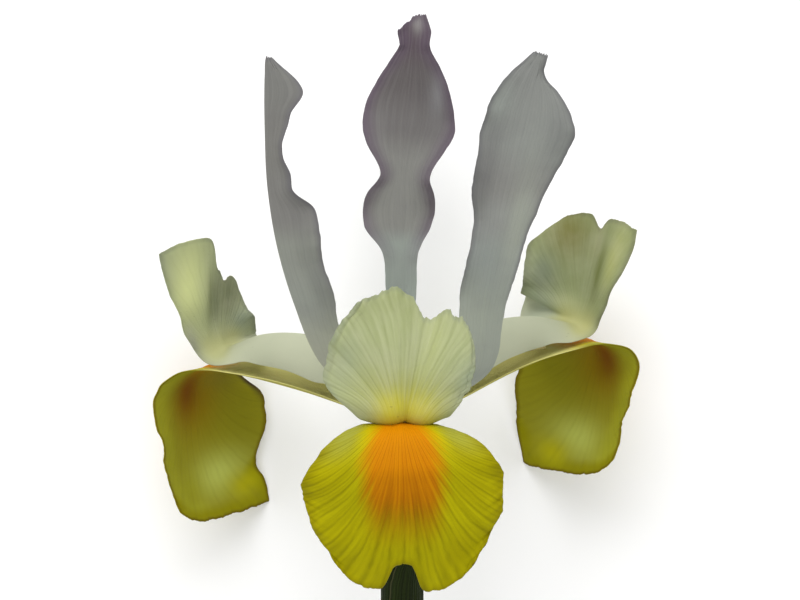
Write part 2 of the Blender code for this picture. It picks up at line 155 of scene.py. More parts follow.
def two_sided(stations, along, across):
    """A profile's value at each place along the petal, on the side that the point is on. Rows are
    (place, left, right), or (place, both)."""
    rows = [(row[0], row[1], row[-1]) for row in stations]
    both = smooth(rows, along)
    return np.where(across < 0, both[..., 0], both[..., 1])


def ragged(place, seed, slowest=5, fastest=48):
    """An uneven wave, about 1 high: nine sines from slow to fast, each fainter than the one before."""
    draw = np.random.default_rng(seed)
    sines, about_one_high = 9, 1.8
    counts = np.geomspace(slowest, fastest, sines) * draw.uniform(0.85, 1.15, sines)
    phases = draw.uniform(0, TURN, sines)
    heights = (slowest / counts) ** 0.55
    total = np.zeros_like(place)
    for count, phase, height in zip(counts, phases, heights):
        total = total + height * np.sin(TURN * count * place + phase)
    return total / heights.sum() * about_one_high


def about_axis(azimuth):
    """The matrix that turns rows of points about the flower's axis, by an azimuth in degrees."""
    turn = math.radians(azimuth)
    return np.array([[math.cos(turn), math.sin(turn), 0], [-math.sin(turn), math.cos(turn), 0], [0, 0, 1]])


# ---------------------------------------------------------------- the petals' design


def waves(petal, along, across):
    """Lift of a waved edge: rows of (left height, right height, waves, left phase, right phase, from)."""
    lift, fade_in = np.zeros_like(along), 0.12
    for left, right, count, left_phase, right_phase, start in petal.get("waves", ()):
        height = np.where(across < 0, left, right) * across**2
        phase = count * along + np.where(across < 0, left_phase, right_phase)
        lift = lift + height * np.clip((along - start) / fade_in, 0, 1) * np.sin(TURN * phase)
    return lift


def notched(depth, half, left, right):
    """A petal's end: a notch at the midrib, and each corner rounded off by so much."""

    def cut(across, width):
        corner = np.where(across < 0, left, right) * np.abs(across) ** 4
        return depth * np.exp(-((across * width / half) ** 4)) + corner

    return cut


def slanted(middle, slope, left, right):
    """A petal's end cut askew: deeper to one side, with each corner rounded off by so much."""

    def cut(across, width):
        return middle + slope * across + np.where(across < 0, left, right) * across**4

    return cut


def two_lobed(depth, half, left, right, left_drop=0, right_drop=0):
    """A crest's end: a cleft at the midrib between two round lobes, either of which may be shorter."""
    beside_cleft = 0.25

    def cut(across, width):
        drop = np.where(across < 0, left_drop, right_drop) * (1 - np.exp(-((across / beside_cleft) ** 2)))
        corner = np.where(across < 0, left, right) * np.abs(across) ** 3
        return depth * np.exp(-((across * width / half) ** 2)) + drop + corner

    return cut


def fall(azimuth, midrib, width, bend, end, waves):
    """A fall: a narrow haft that runs out level, and a broad blade that hangs from its end."""
    haft = [(0, 2.0), (0.08, 3.2), (0.3, 4.4)]
    cupped = [(0, 20), (0.08, 30), (0.3, 35)]
    return {
        "azimuth": azimuth,
        "midrib": [(0, 4.6, PETAL_FOOT), (0, 4.9, 2.0)] + midrib,
        "width": haft + width,
        "bend": cupped + bend,
        "crease": [(0, 0), (1, 0)],
        "twist": [(0, 0), (1, 0)],
        "end": end,
        "end_from": 0.6,
        "waves": waves,
    }


def standard(azimuth, midrib, width, bend, twist, waves, end=None, crease=0):
    """A standard: a narrow claw, and an upright blade that widens towards its top."""
    petal = {
        "azimuth": azimuth,
        "midrib": [(0, 3.9, PETAL_FOOT)] + midrib,
        "width": [(0, 1.6), (0.1, 2.4)] + width,
        "bend": [(0, 20), (0.1, 25)] + bend,
        "crease": [(0, 0), (0.5, crease), (1, crease)],
        "twist": [(0, 0)] + twist,
        "waves": waves,
    }
    if end:
        petal.update(end=end, end_from=0.9)
    return petal


def style_arm(azimuth, midrib, width, bend, crease, end, twist=((0, 0), (1, 0))):
    """A style arm: a roof over the fall's haft, which turns up at its end into a crest of two lobes."""
    return {
        "azimuth": azimuth,
        "midrib": [(0, 2.0, COLUMN_TOP + PETAL_FOOT), (0, 3.2, 9)] + midrib,
        "width": [(0, 1.6), (0.06, 3.2), (0.15, 7.5)] + width,
        "bend": [(0, -50), (0.1, -70), (0.25, -92), (0.4, -92)] + bend,
        "crease": [(0, -10), (0.3, -15)] + crease,
        "twist": twist,
        "end": end,
        "end_from": 0.66,
    }


PETALS = {
    "fall_front": fall(
        azimuth=0,
        midrib=[(0, 8, 4.0), (0, 16, 5.9), (0, 28, 8.4), (0, 38, 11.2), (0, 43.5, 13.3), (0.2, 48.6, 12.8)]
        + [(0.5, 52, 8), (0.8, 53, 1.5), (0.8, 52.5, -6), (0.6, 50.8, -12.5), (0.4, 49, -17)],
        width=[(0.5, 6.2), (0.56, 9, 8.6), (0.62, 14, 13.8), (0.7, 18.2, 18), (0.78, 19.2, 18.6)]
        + [(0.86, 18.2), (0.93, 16.2, 16), (1, 12.8)],
        bend=[(0.46, 16), (0.52, -2), (0.58, -6), (0.66, -14), (0.78, -26), (0.9, -22), (1, -10)],
        end=notched(depth=6.3, half=2.9, left=5.5, right=6.5),
        waves=[(0.5, 0.5, 6, 0, 0.3, 0.6)],
    ),
    "fall_left": fall(
        azimuth=BACK_LEFT,
        midrib=[(0, 8, 4.0), (0, 16, 5.9), (0, 28, 7.8), (0, 38, 9.1), (0, 43, 9.6), (0.2, 47.3, 8.8)]
        + [(0.6, 49.8, 5.2), (1, 50, -1), (1, 48.5, -10), (0.6, 46, -17.5), (0, 43, -23)]
        + [(-0.4, 41.2, -26.8)],
        width=[(0.474, 6.6), (0.531, 10), (0.588, 16, 14.6), (0.664, 19.6, 16.6), (0.739, 19.6, 16.7)]
        + [(0.815, 17, 17.2), (0.88, 14.8, 17.1), (0.948, 15.8, 15.9), (1, 15.6, 14.8)],
        bend=[(0.455, 12), (0.531, -10, 8), (0.626, -32, -8), (0.739, -34, -22), (0.853, -28, -22)]
        + [(0.948, -14, -16), (1, -6, -14)],
        end=slanted(middle=4, slope=2.6, left=0.5, right=3),
        waves=[(0.35, 0.25, 6, 0.1, 0.3, 0.6)],
    ),
    "fall_right": fall(
        azimuth=BACK_RIGHT,
        midrib=[(0, 8, 4.3), (0, 16, 7.2), (0, 28, 11.4), (0, 38, 14.2), (0, 43, 15.2), (0, 47, 14.3)]
        + [(0, 48.9, 10.4), (0, 48.7, 3), (0, 47.2, -5.4), (0, 44.6, -13), (0, 42.9, -18)],
        width=[(0.474, 6.6), (0.531, 10), (0.588, 13.8, 17), (0.664, 14.1, 20.4), (0.739, 14.4, 21.6)]
        + [(0.815, 13.4, 21.9), (0.882, 12, 21.8), (0.948, 11.2, 20.6), (1, 10.8, 19.8)],
        bend=[(0.455, 12), (0.531, 12, -10), (0.626, 0, -42), (0.739, -18, -46), (0.853, -18, -34)]
        + [(0.948, -12, -16), (1, -10, -8)],
        end=slanted(middle=4, slope=-3, left=3, right=0.8),
        waves=[(0.25, 0.35, 6, 0.6, 0.2, 0.6)],
    ),
    "standard_back": standard(
        azimuth=180,
        midrib=[(0, 4, 4), (0, 6.5, 10), (0, 10.5, 20), (0, 15, 32), (0, 18.5, 44), (-0.8, 21.5, 56)]
        + [(-2.2, 24.5, 68), (-2.8, 26.5, 77), (-3.4, 28, 83)],
        width=[(0.34, 3.5, 3), (0.44, 4.3), (0.49, 6.8, 7.7), (0.525, 8, 8.5), (0.56, 7.2), (0.6, 6, 4.6)]
        + [(0.68, 8.7, 7.8), (0.73, 10.6, 9.6), (0.78, 10.5, 9.8), (0.83, 8.5, 7.9), (0.88, 5.6, 5)]
        + [(0.92, 3.5, 3), (0.96, 3.6, 3.1), (1, 2.1, 3.8)],
        bend=[(0.34, 25), (0.44, 5), (0.525, -45), (0.6, 20), (0.66, 10), (0.76, -42), (0.86, -30)]
        + [(0.93, 20), (1, 45)],
        twist=[(1, 0)],
        end=lambda across, width: np.where(across > 0, 4 * across, 0),
        waves=[],
    ),
    "standard_left": standard(
        azimuth=-60,
        midrib=[(0, 4.2, 4), (0, 9.2, 10), (0, 17.6, 17), (0, 23.2, 29), (0, 27, 41), (0, 29, 53)]
        + [(0, 29.4, 65), (0, 29.3, 78)],
        width=[(0.25, 5, 7), (0.37, 8, 9), (0.47, 9, 11), (0.52, 9, 10.4), (0.6, 9, 11.6), (0.66, 8, 10.6)]
        + [(0.7, 8, 8.2), (0.745, 8, 7.6), (0.79, 8, 6.6), (0.84, 8.5, 7), (0.88, 8.5, 8), (0.93, 7.5, 10)]
        + [(0.965, 4.5, 7.5), (1, 1.2, 1.8)],
        bend=[(0.3, 30, 64), (0.47, 30, 64), (0.6, 30, 68), (0.665, 30, 72), (0.7, 30, 40), (0.745, 30, 38)]
        + [(0.79, 30, 16), (0.84, 30, 26), (0.88, 30, 38), (0.93, 30, 57), (1, 20, 40)],
        twist=[(0.3, -8), (0.6, -14), (1, -14)],
        waves=[],
        crease=4,
    ),
    "standard_right": standard(
        azimuth=60,
        midrib=[(0, 4.2, 4), (0, 9.5, 8.5), (0, 17, 15.2), (0, 19.2, 28.5), (-0.3, 22.6, 44)]
        + [(-0.3, 27.4, 63.5), (0, 31.2, 78.8)],
        width=[(0.24, 4.2), (0.4, 4.9, 4.7), (0.5, 5.4, 5.5), (0.56, 5.2, 5.9), (0.6, 5.4, 6.1)]
        + [(0.64, 6.6, 6.6), (0.7, 7.5, 7.4), (0.75, 7.7, 8.4), (0.8, 8.1, 9.3), (0.84, 8.1, 9.8)]
        + [(0.87, 8.2, 8.8), (0.9, 7.4, 6.8), (0.925, 6.5, 4.4), (0.94, 5.6, 2.4), (1, 1.6, 1.2)],
        bend=[(0.3, 25), (0.5, 30), (0.7, 12), (0.85, -25), (1, -10)],
        twist=[(0.1, -10), (0.3, -40), (0.5, -52), (0.7, -56), (1, -58)],
        waves=[(0.7, 0.5, 5, 0.2, 0.5, 0.3)],
    ),
    "style_arm_front": style_arm(
        azimuth=0,
        midrib=[(0, 7.5, 13.8), (0, 14, 17), (0, 24, 18.6), (0, 33, 17.8), (0, 38.6, 15.8), (0.8, 43.4, 14.6)]
        + [(1.3, 45.2, 16.2), (2.2, 45.4, 21), (3.4, 45, 27), (4.6, 44.2, 33), (5.2, 43.6, 38.9)],
        width=[(0.25, 10.6), (0.4, 9.6), (0.5, 7.2), (0.57, 5), (0.625, 6.2, 5), (0.655, 9.6, 6.2)]
        + [(0.69, 14, 7.8), (0.73, 16.1, 9), (0.8, 16.3, 10.2), (0.87, 16, 10.6), (0.94, 14.6, 10.4)]
        + [(1, 13, 9.6)],
        bend=[(0.5, -78), (0.56, -45), (0.6, 5), (0.655, 30), (0.7, 26), (0.78, 24), (0.88, 10), (1, -10)],
        crease=[(0.56, -15), (0.62, -16), (0.68, -12), (0.74, -12), (0.82, -14), (1, -8)],
        end=two_lobed(depth=5.4, half=2.6, left=3.8, right=4.5, right_drop=3),
    ),
    "style_arm_left": style_arm(
        azimuth=BACK_LEFT,
        midrib=[(0, 7.5, 13.8), (0, 14, 17.4), (0, 24, 18.4), (0, 33, 17.2), (0, 39, 14.8), (0, 42.2, 13.8)]
        + [(0, 44, 17.6), (0, 44.2, 25), (0, 43.4, 31.5), (0, 42.3, 37.4)],
        width=[(0.25, 10.2), (0.4, 9), (0.53, 7), (0.58, 6.6, 5.8), (0.62, 10, 6), (0.655, 10.6, 6.4)]
        + [(0.69, 9.8, 8), (0.73, 9, 9.6), (0.8, 8.2, 11), (0.87, 7.2, 12.8), (0.94, 6.4, 14.4)]
        + [(1, 5.4, 15.4)],
        bend=[(0.53, -80), (0.58, -60, -55), (0.62, -16, -38), (0.655, 0, -14), (0.7, 10), (0.78, 24)]
        + [(0.88, 10), (1, -10)],
        crease=[(0.6, -15), (0.64, 0, -12), (0.68, 2, -8), (0.75, 6, -10), (1, 0, 0)],
        twist=[(0, 0), (0.6, 0), (0.72, -12), (1, -18)],
        end=two_lobed(depth=7.4, half=1.9, left=2.5, right=3.4, left_drop=8),
    ),
    "style_arm_right": style_arm(
        azimuth=BACK_RIGHT,
        midrib=[(0, 7.5, 14.2), (0, 14, 19.2), (0, 24, 21.4), (0, 33, 21), (0, 39, 19.4), (0, 42.4, 19)]
        + [(0, 44.4, 22.4), (0, 46, 28.4), (0, 47.6, 35), (0, 49.2, 41.2)],
        width=[(0.25, 10.2), (0.4, 9.2), (0.53, 7), (0.58, 6, 7.6), (0.62, 5.8, 15), (0.655, 5.8, 18)]
        + [(0.69, 6.6, 15.4), (0.73, 8.6, 14.4), (0.8, 11.4, 14.2), (0.87, 12.4, 14.8), (0.94, 12.4, 15.2)]
        + [(1, 11.2, 12)],
        bend=[(0.53, -80), (0.58, -55, -60), (0.62, -38, -16), (0.655, -14, 0), (0.7, 10), (0.78, 24)]
        + [(0.88, 10), (1, -10)],
        crease=[(0.6, -15), (0.64, -4, -10), (0.66, 5, -8), (0.69, 16, -2), (0.76, 26, 0), (1, 30, 0)],
        twist=[(0, 0), (0.58, 0), (0.7, 24), (0.8, 30), (1, 30)],
        end=two_lobed(depth=2.6, half=1.7, left=1.4, right=5),
    ),
}


# ---------------------------------------------------------------- the petals' surfaces


def fan_angle(side, past, focus, curl):
    """The angle that a petal's veins fan out by, which stays the same all along a vein. They leave a focus
    just below the knee, side by side in the haft, and bend outwards more and more towards the margin."""
    ahead = np.maximum(past, 0) + focus
    angle = np.arctan2(side, ahead)
    return angle * (1 - curl * np.log(np.hypot(side, ahead) / focus))


def petal_surface(name, columns=96, rows=190):
    """The middle surface of a petal and what its finish needs, as arrays of rows from foot to end, and
    columns from left to right.

    A point lies on the midrib, moved sideways and lifted along the arc of its cross section: sideways by
    width x (sin(crease + bend) - sin(crease)) / bend, and up by width x (cos(crease) - cos(crease + bend)) /
    bend, with the share of the bend that lies between the midrib and the point. Twist turns the section about
    the midrib. The margins are ragged in the surface's own plane, and the relief lifts it.
    """
    petal, fine = PETALS[name], FINE[name]
    even = np.linspace(0, 1, rows)[:, None]
    along = even + END_CROWDING * np.sin(math.pi * even) + np.zeros((1, columns))
    even = np.linspace(-1, 1, columns)[None, :]
    across = even * (1 + MARGIN_CROWDING - MARGIN_CROWDING * even**2) + np.zeros((rows, 1))

    lengths, curve = midrib(petal["midrib"])
    total = lengths[-1]
    design_width = two_sided(petal["width"], along, across)
    bend, crease, twist = (
        np.radians(two_sided(petal[key], along, across)) for key in ("bend", "crease", "twist")
    )

    tooth = fine["tooth"] * eased(along, fine["tooth_from"], fine["tooth_from"] + TEETH_FADE_IN)
    margins = np.where(across < 0, ragged(along, fine["seed"]), ragged(along, fine["seed"] + 1))
    width = design_width + tooth * margins

    place = total * along
    if "end" in petal:
        place = place - petal["end"](across, design_width) * eased(along, petal["end_from"], 1)
    end_margin = ragged(across / 2, fine["seed"] + 2, slowest=4)
    place = place - fine["end_tooth"] * (END_SET_BACK + end_margin) * eased(along, END_TEETH_FROM, 1)
    place = np.clip(place, 0, total)

    def on_midrib(at):
        """The midrib's points at these arc lengths."""
        at = np.clip(at, 0, total)
        return np.stack([np.interp(at, lengths, curve[:, k]) for k in range(3)], -1)

    forward = on_midrib(place + TANGENT_STEP) - on_midrib(place - TANGENT_STEP)
    forward /= np.linalg.norm(forward, axis=-1, keepdims=True)
    sideways = np.array([1.0, 0, 0]) - forward[..., :1] * forward
    sideways /= np.linalg.norm(sideways, axis=-1, keepdims=True)
    outwards_is_front = np.array([1.0, -1.0, 1.0])
    centre = on_midrib(place) * outwards_is_front
    forward, sideways = forward * outwards_is_front, sideways * outwards_is_front
    upper = np.cross(forward, sideways)
    cos, sin = np.cos(twist)[..., None], np.sin(twist)[..., None]
    sideways, upper = sideways * cos + upper * sin, upper * cos - sideways * sin

    curl = np.where(np.abs(bend) < FLAT_BEND, FLAT_BEND, bend)
    turned = crease + curl * np.abs(across)
    reach = np.sign(across) * width * (np.sin(turned) - np.sin(crease)) / curl
    lift = width * (np.cos(crease) - np.cos(turned)) / curl + waves(petal, along, across)

    side = across * width
    past = place - fine["knee"] * total
    from_end = (1 - along) * total * END_IS_FARTHER
    form = {
        "across": across,
        "along": along,
        "side": side,
        "past": past,
        "fan": fan_angle(side, past, fine["focus"], fine["curl"]),
        "edge": np.minimum(width * (1 - np.abs(across)), from_end),
    }
    lift = lift + fine["relief"](form, fine)
    points = centre + sideways * reach[..., None] + upper * lift[..., None]
    form["points"] = points @ about_axis(petal["azimuth"])
    return form


def surface_normals(points):
    """Unit normals of a grid of points, on the side that rows x columns turns to."""
    normals = np.cross(np.gradient(points, axis=0), np.gradient(points, axis=1))
    return normals / np.maximum(np.linalg.norm(normals, axis=-1, keepdims=True), 1e-9)


def grid_faces(rows, columns, start=0, flipped=False):
    """Four corners a face over a grid of points, numbered row by row from start."""
    index = start + np.arange(rows * columns).reshape(rows, columns)
    corners = [index[:-1, :-1], index[1:, :-1], index[1:, 1:], index[:-1, 1:]]
    if flipped:
        corners.reverse()
    return np.stack(corners, -1).reshape(-1, 4)


def rim_faces(upper, lower):
    """A strip of faces between two rows of point numbers that run along a margin."""
    return np.stack([upper[:-1], lower[:-1], lower[1:], upper[1:]], -1)


UPPER, UNDER, RIM = 0, 1, 2  # the sides of a thin sheet


def blade(points, half_thickness):
    """Points and faces of a closed thin sheet: the surface moved half its thickness to each side, and its
    four margins closed. The last value tells each face's side."""
    rows, columns = points.shape[:2]
    offset = surface_normals(points) * half_thickness[..., None]
    index = np.arange(rows * columns).reshape(rows, columns)
    lower = index + rows * columns
    strips = [
        rim_faces(index[:, 0], lower[:, 0]),
        rim_faces(index[::-1, -1], lower[::-1, -1]),
        rim_faces(index[-1], lower[-1]),
        rim_faces(index[0, ::-1], lower[0, ::-1]),
    ]
    upper_faces = grid_faces(rows, columns)
    under_faces = grid_faces(rows, columns, rows * columns, flipped=True)
    faces = np.vstack([upper_faces, under_faces, *strips])
    side = np.full(len(faces), RIM)
    side[: len(upper_faces)] = UPPER
    side[len(upper_faces) : 2 * len(upper_faces)] = UNDER
    both = np.concatenate([(points + offset).reshape(-1, 3), (points - offset).reshape(-1, 3)])
    return both, faces, side


def on_both_sides(values):
    """A blade's values at each point of its upper side, and again at the under side's."""
    return {key: np.tile(value.ravel(), 2) for key, value in values.items()}


# ---------------------------------------------------------------- pieces


def in_place(points):
    """Points in the flower's frame, in millimetres, as points in the lying flower's, in metres."""
    matrix = np.array(LIE)
    return points * MM @ matrix[:3, :3].T + matrix[:3, 3]


def piece(name, points, faces, materials, replaced, sides=None, values=None):
    """A finished piece on the one body: a smooth mesh with its materials and its own values at each point."""
    mesh = bpy.data.meshes.new(name)
    points = in_place(points)
    mesh.vertices.add(len(points))
    mesh.vertices.foreach_set("co", points.astype(np.float32).ravel())
    mesh.loops.add(faces.size)
    mesh.loops.foreach_set("vertex_index", faces.astype(np.int32).ravel())
    mesh.polygons.add(len(faces))
    mesh.polygons.foreach_set("loop_start", np.arange(len(faces), dtype=np.int32) * faces.shape[1])
    for material in materials:
        mesh.materials.append(material)
    if sides is not None:
        mesh.polygons.foreach_set("material_index", sides.astype(np.int32))
    mesh.update(calc_edges=True)
    mesh.polygons.foreach_set("use_smooth", np.ones(len(faces), bool))
    for key, value in (values or {}).items():
        layer = mesh.attributes.new(key, "FLOAT", "POINT")
        layer.data.foreach_set("value", np.asarray(value, np.float32).ravel())
    mesh.validate()
    obj = bpy.data.objects.new(name, mesh)
    bpy.context.scene.collection.objects.link(obj)
    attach(obj, "root")
    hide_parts(*replaced)
    return obj


def petal_piece(name, upper, under):
    """A petal as a closed blade, thick along its keel and thin at its margin, with its finish's values."""
    form = petal_surface(name)
    fine = FINE[name]
    thinned = 1 - np.exp(-np.maximum(form["edge"], 0) / THINNING)
    half = (RIM_THICKNESS + (BLADE_THICKNESS - RIM_THICKNESS) * thinned) / 2
    keel = fine["keel"] * hump(form["side"], 0, KEEL_HALF_WIDTH)
    half = half + keel * (1 - eased(form["along"], *KEEL_FADES)) / 2
    points, faces, side = blade(form["points"], half)
    values = on_both_sides({key: form[key] for key in ("across", "side", "past", "fan", "edge")})
    rim_is_upper = np.where(side == UNDER, UNDER, UPPER)
    return piece(name + "_petal", points, faces, [upper, under], [name], rim_is_upper, values)


# ---------------------------------------------------------------- fine form of each petal


def furrowed(fine, height, slowest, fastest, across):
    """Furrows that run along a petal, this high and between so many and so many over its width."""
    return height * ragged(across, fine["seed"] + 3, slowest, fastest)


def ruffled(form, fine, width, slowest, fastest, place):
    """A ruffle within this width of the margin, between so many and so many waves along it."""
    return hump(form["edge"], 0, width) * ragged(place, fine["seed"] + 4, slowest, fastest)


def fall_relief(form, fine):
    """Soft furrows that fan out over a fall's blade, and a small ruffle along its margin."""
    furrows = furrowed(fine, 0.02, 9, 34, form["fan"] / 3 + 0.5)
    margin = ruffled(form, fine, 2.6, 11, 40, form["along"])
    on_blade = eased(form["past"], -2, 4)
    return (furrows + fine["ruffle"] * margin) * on_blade


def standard_relief(form, fine):
    """Long faint furrows, and an unsteady margin."""
    furrows = furrowed(fine, 0.035, 5, 16, form["across"] / 2 + 0.5)
    return furrows + fine["ruffle"] * ruffled(form, fine, 2.2, 7, 26, form["along"])


def crest_relief(form, fine):
    """Ribs that fan out over a crest, a crimped margin, two round lips below it with a cleft between, and
    a fold beside its midrib."""
    side, past = form["side"], form["past"]
    on_crest = eased(past, 1, 7)
    faint_margin = 0.35 + 0.65 * eased(form["edge"], 0, 4)
    faint_top = 1 - 0.6 * eased(past, 10, 20)
    ribs = furrowed(fine, fine["rib"], 20, 70, form["fan"] / 3 + 0.5) * faint_margin * faint_top
    crimp = fine["ruffle"] * ruffled(form, fine, 2.0, 7, 40, form["across"] / 2)
    lips = fine["lip"] * hump(np.abs(side), 2.8, 3.4) * hump(past, 0.6, 2.6)
    cleft = fine["cleft"] * hump(side, 0, 0.75) * eased(past, 0, 2) * (1 - eased(past, 4, 20))
    fold = fine["fold"] * eased(side, 1.4, 3.6) * hump(past, 11, 6)
    return (ribs + crimp) * on_crest - lips + cleft + fold


FALL_FINE = {"tooth": 0.12, "tooth_from": 0.55, "end_tooth": 0.2, "knee": 0.555, "focus": 5.0, "curl": 0.3}
FALL_FINE.update(relief=fall_relief, keel=0.35, ruffle=0.12)
STANDARD_FINE = {"tooth": 0.13, "tooth_from": 0.2, "end_tooth": 0.3, "knee": 0.1, "focus": 8.0, "curl": 0.1}
STANDARD_FINE.update(relief=standard_relief, keel=0.25, ruffle=0.2)
ARM_FINE = {"tooth": 0.1, "tooth_from": 0.66, "end_tooth": 0.15, "knee": 0.665, "focus": 5.0, "curl": 0.22}
ARM_FINE.update(relief=crest_relief, keel=0.2, rib=0.025, ruffle=0.12, lip=0.35, cleft=0.1, fold=0.0)
FINE = {
    "fall_front": {**FALL_FINE, "seed": 10, "tooth": 0.2, "end_tooth": 0.3, "ruffle": 0.3},
    "fall_left": {**FALL_FINE, "seed": 20, "knee": 0.526},
    "fall_right": {**FALL_FINE, "seed": 30, "knee": 0.526},
    "standard_back": {**STANDARD_FINE, "seed": 40, "tooth": 0.08},
    "standard_left": {**STANDARD_FINE, "seed": 50},
    "standard_right": {**STANDARD_FINE, "seed": 60},
    "style_arm_front": {**ARM_FINE, "seed": 70, "tooth": 0.3, "end_tooth": 0.5},
    "style_arm_left": {**ARM_FINE, "seed": 80, "fold": 0.9, "end_tooth": 0.05},
    "style_arm_right": {**ARM_FINE, "seed": 90},
}
FINE["style_arm_front"].update(rib=0.05, ruffle=0.25, lip=1.4, cleft=0.3)


# ---------------------------------------------------------------- wiring


def linear(colour):
    """The shader's linear values for a colour given as it looks on a screen, 0 to 255. A node's output stays
    as it is."""
    if isinstance(colour, bpy.types.NodeSocket):
        return colour
    values = np.array(colour) / 255
    values = np.where(values <= 0.04045, values / 12.92, ((values + 0.055) / 1.055) ** 2.4)
    return (*values, 1)


class Wiring:
    """Places nodes in a tree and joins them. A call that places nodes returns the last one's output."""

    def __init__(self, tree):
        self.tree = tree

    def feed(self, made, inputs):
        """Gives a node its inputs, each a plain value or another node's output."""
        for key, value in inputs.items():
            if isinstance(value, bpy.types.NodeSocket):
                self.tree.links.new(value, made.inputs[key])
            else:
                made.inputs[key].default_value = value

    def node(self, kind, inputs, output=0, **settings):
        """Places one node with these inputs and settings."""
        made = self.tree.nodes.new("ShaderNode" + kind)
        for key, value in settings.items():
            setattr(made, key, value)
        self.feed(made, inputs)
        return made.outputs[output] if made.outputs else None

    def use(self, effect_name, **inputs):
        """Places a shared effect, and returns all its outputs."""
        made = self.tree.nodes.new("ShaderNodeGroup")
        made.node_tree = EFFECTS[effect_name]
        self.feed(made, {key.replace("_", " "): value for key, value in inputs.items()})
        return made.outputs

    def values(self, *names):
        """The piece's own values at each point, one output for each name."""
        return [self.node("Attribute", {}, "Fac", attribute_name=name) for name in names]

    def place(self):
        """The point's place on the object, in metres."""
        return self.node("TexCoord", {}, "Object")

    def vector(self, x, y):
        """A flat vector, as a place to read a noise at."""
        return self.node("CombineXYZ", {0: x, 1: y})

    def calc(self, operation, first, second=0, third=0):
        """One step of arithmetic."""
        return self.node("Math", {0: first, 1: second, 2: third}, operation=operation)

    def product(self, *factors):
        """All the factors multiplied."""
        result = factors[0]
        for factor in factors[1:]:
            result = self.calc("MULTIPLY", result, factor)
        return result

    def flip(self, value):
        """1 where the value is 0, and 0 where it is 1."""
        return self.calc("SUBTRACT", 1, value)

    def ease(self, value, start, end, low=0, high=1):
        """A smooth step from low to high as value goes from start to end."""
        inputs = {"Value": value, "From Min": start, "From Max": end, "To Min": low, "To Max": high}
        return self.node("MapRange", inputs, interpolation_type="SMOOTHSTEP")

    def bell(self, value, centre, spread):
        """1 at the centre, falling away on both sides."""
        away = self.calc("DIVIDE", self.calc("SUBTRACT", value, centre), spread)
        return self.calc("POWER", math.e, self.calc("MULTIPLY", self.calc("MULTIPLY", away, away), -1))

    def mix(self, factor, first, second):
        """The first colour, going over to the second as the factor goes from 0 to 1."""
        inputs = {0: factor, 6: linear(first), 7: linear(second)}
        return self.node("Mix", inputs, 2, data_type="RGBA", blend_type="MIX")

    def along_stops(self, value, stops):
        """A colour that goes softly from one (place, colour) stop to the next."""
        place, colour = stops[0]
        for next_place, next_colour in stops[1:]:
            colour = self.mix(self.ease(value, place, next_place), colour, next_colour)
            place = next_place
        return colour

    def layered(self, colour, *layers):
        """The colour under layers of others, the lowest first. Each is (colour, factor, ...), as strong as
        the product of its factors."""
        for layer, *factors in layers:
            colour = self.mix(self.product(*factors), colour, layer)
        return colour

    def spots(self, side, past, rows):
        """Soft spots as layers, from rows of (strength, colour, (side, past), (width, length))."""
        return [
            (colour, self.bell(side, centre[0], spread[0]), self.bell(past, centre[1], spread[1]), strength)
            for strength, colour, centre, spread in rows
        ]

    def noise(self, vector, scale, detail=2, roughness=0.5):
        """A soft noise, between 0 and 1."""
        inputs = {"Vector": vector, "Scale": scale, "Detail": detail, "Roughness": roughness}
        return self.node("TexNoise", inputs, "Fac")

    def bump(self, height, distance, strength=0.8):
        """The normal of a surface raised by height times the distance, in metres."""
        return self.node("Bump", {"Height": height, "Distance": distance, "Strength": strength})

    def skin(self, colour, roughness, normal, specular):
        """A plain opaque surface."""
        inputs = {"Base Color": colour, "Roughness": roughness, "Normal": normal}
        return self.node("BsdfPrincipled", {**inputs, "Specular IOR Level": specular})

    def finish(self, surface):
        """Ends a material."""
        self.node("OutputMaterial", {"Surface": surface})


def new_material(name):
    """An empty material and its wiring."""
    material = bpy.data.materials.new(name)
    material.use_nodes = True
    material.node_tree.nodes.clear()
    return material, Wiring(material.node_tree)


# ---------------------------------------------------------------- effects that the finishes share


def effect(name, inputs, outputs):
    """A new node group with float inputs and outputs: its wiring, what it is given, and its output node."""
    group = bpy.data.node_groups.new(name, "ShaderNodeTree")
    for key, default in inputs.items():
        group.interface.new_socket(key, in_out="INPUT", socket_type="NodeSocketFloat").default_value = default
    for key in outputs:
        group.interface.new_socket(key, in_out="OUTPUT", socket_type="NodeSocketFloat")
    given = group.nodes.new("NodeGroupInput").outputs
    return Wiring(group), given, group.nodes.new("NodeGroupOutput")


def veins_effect():
    """Dark thin veins that follow Across, with paler flesh between them. They waver a little, and every
    second one is faint. Line is 1 on a vein, and Swell is the flesh standing proud between two."""
    wire, given, result = effect("veins", {"Across": 0, "Along": 0, "Every": 0.1}, ["Line", "Swell"])
    step = wire.calc("DIVIDE", given["Across"], given["Every"])
    waver = wire.noise(wire.vector(wire.product(step, 0.6), wire.product(given["Along"], 0.11)), 1, 3)
    step = wire.calc("ADD", step, wire.product(wire.calc("SUBTRACT", waver, 0.5), 0.9))

    def lines(turns, sharpness):
        """A line at each whole number of turns."""
        wave = wire.calc("COSINE", wire.product(turns, TURN))
        return wire.calc("POWER", wire.calc("MULTIPLY_ADD", wave, 0.5, 0.5), sharpness)

    between = wire.product(lines(wire.calc("ADD", step, 0.5), 9), 0.45)
    both = wire.calc("MAXIMUM", lines(step, 7), between)
    patchy = wire.noise(wire.vector(wire.product(step, 1.7), wire.product(given["Along"], 0.25)), 1, 2)
    line = wire.product(both, wire.ease(patchy, 0.25, 0.6, 0.35, 1))
    wire.feed(result, {"Line": line, "Swell": wire.flip(both)})
    return wire.tree


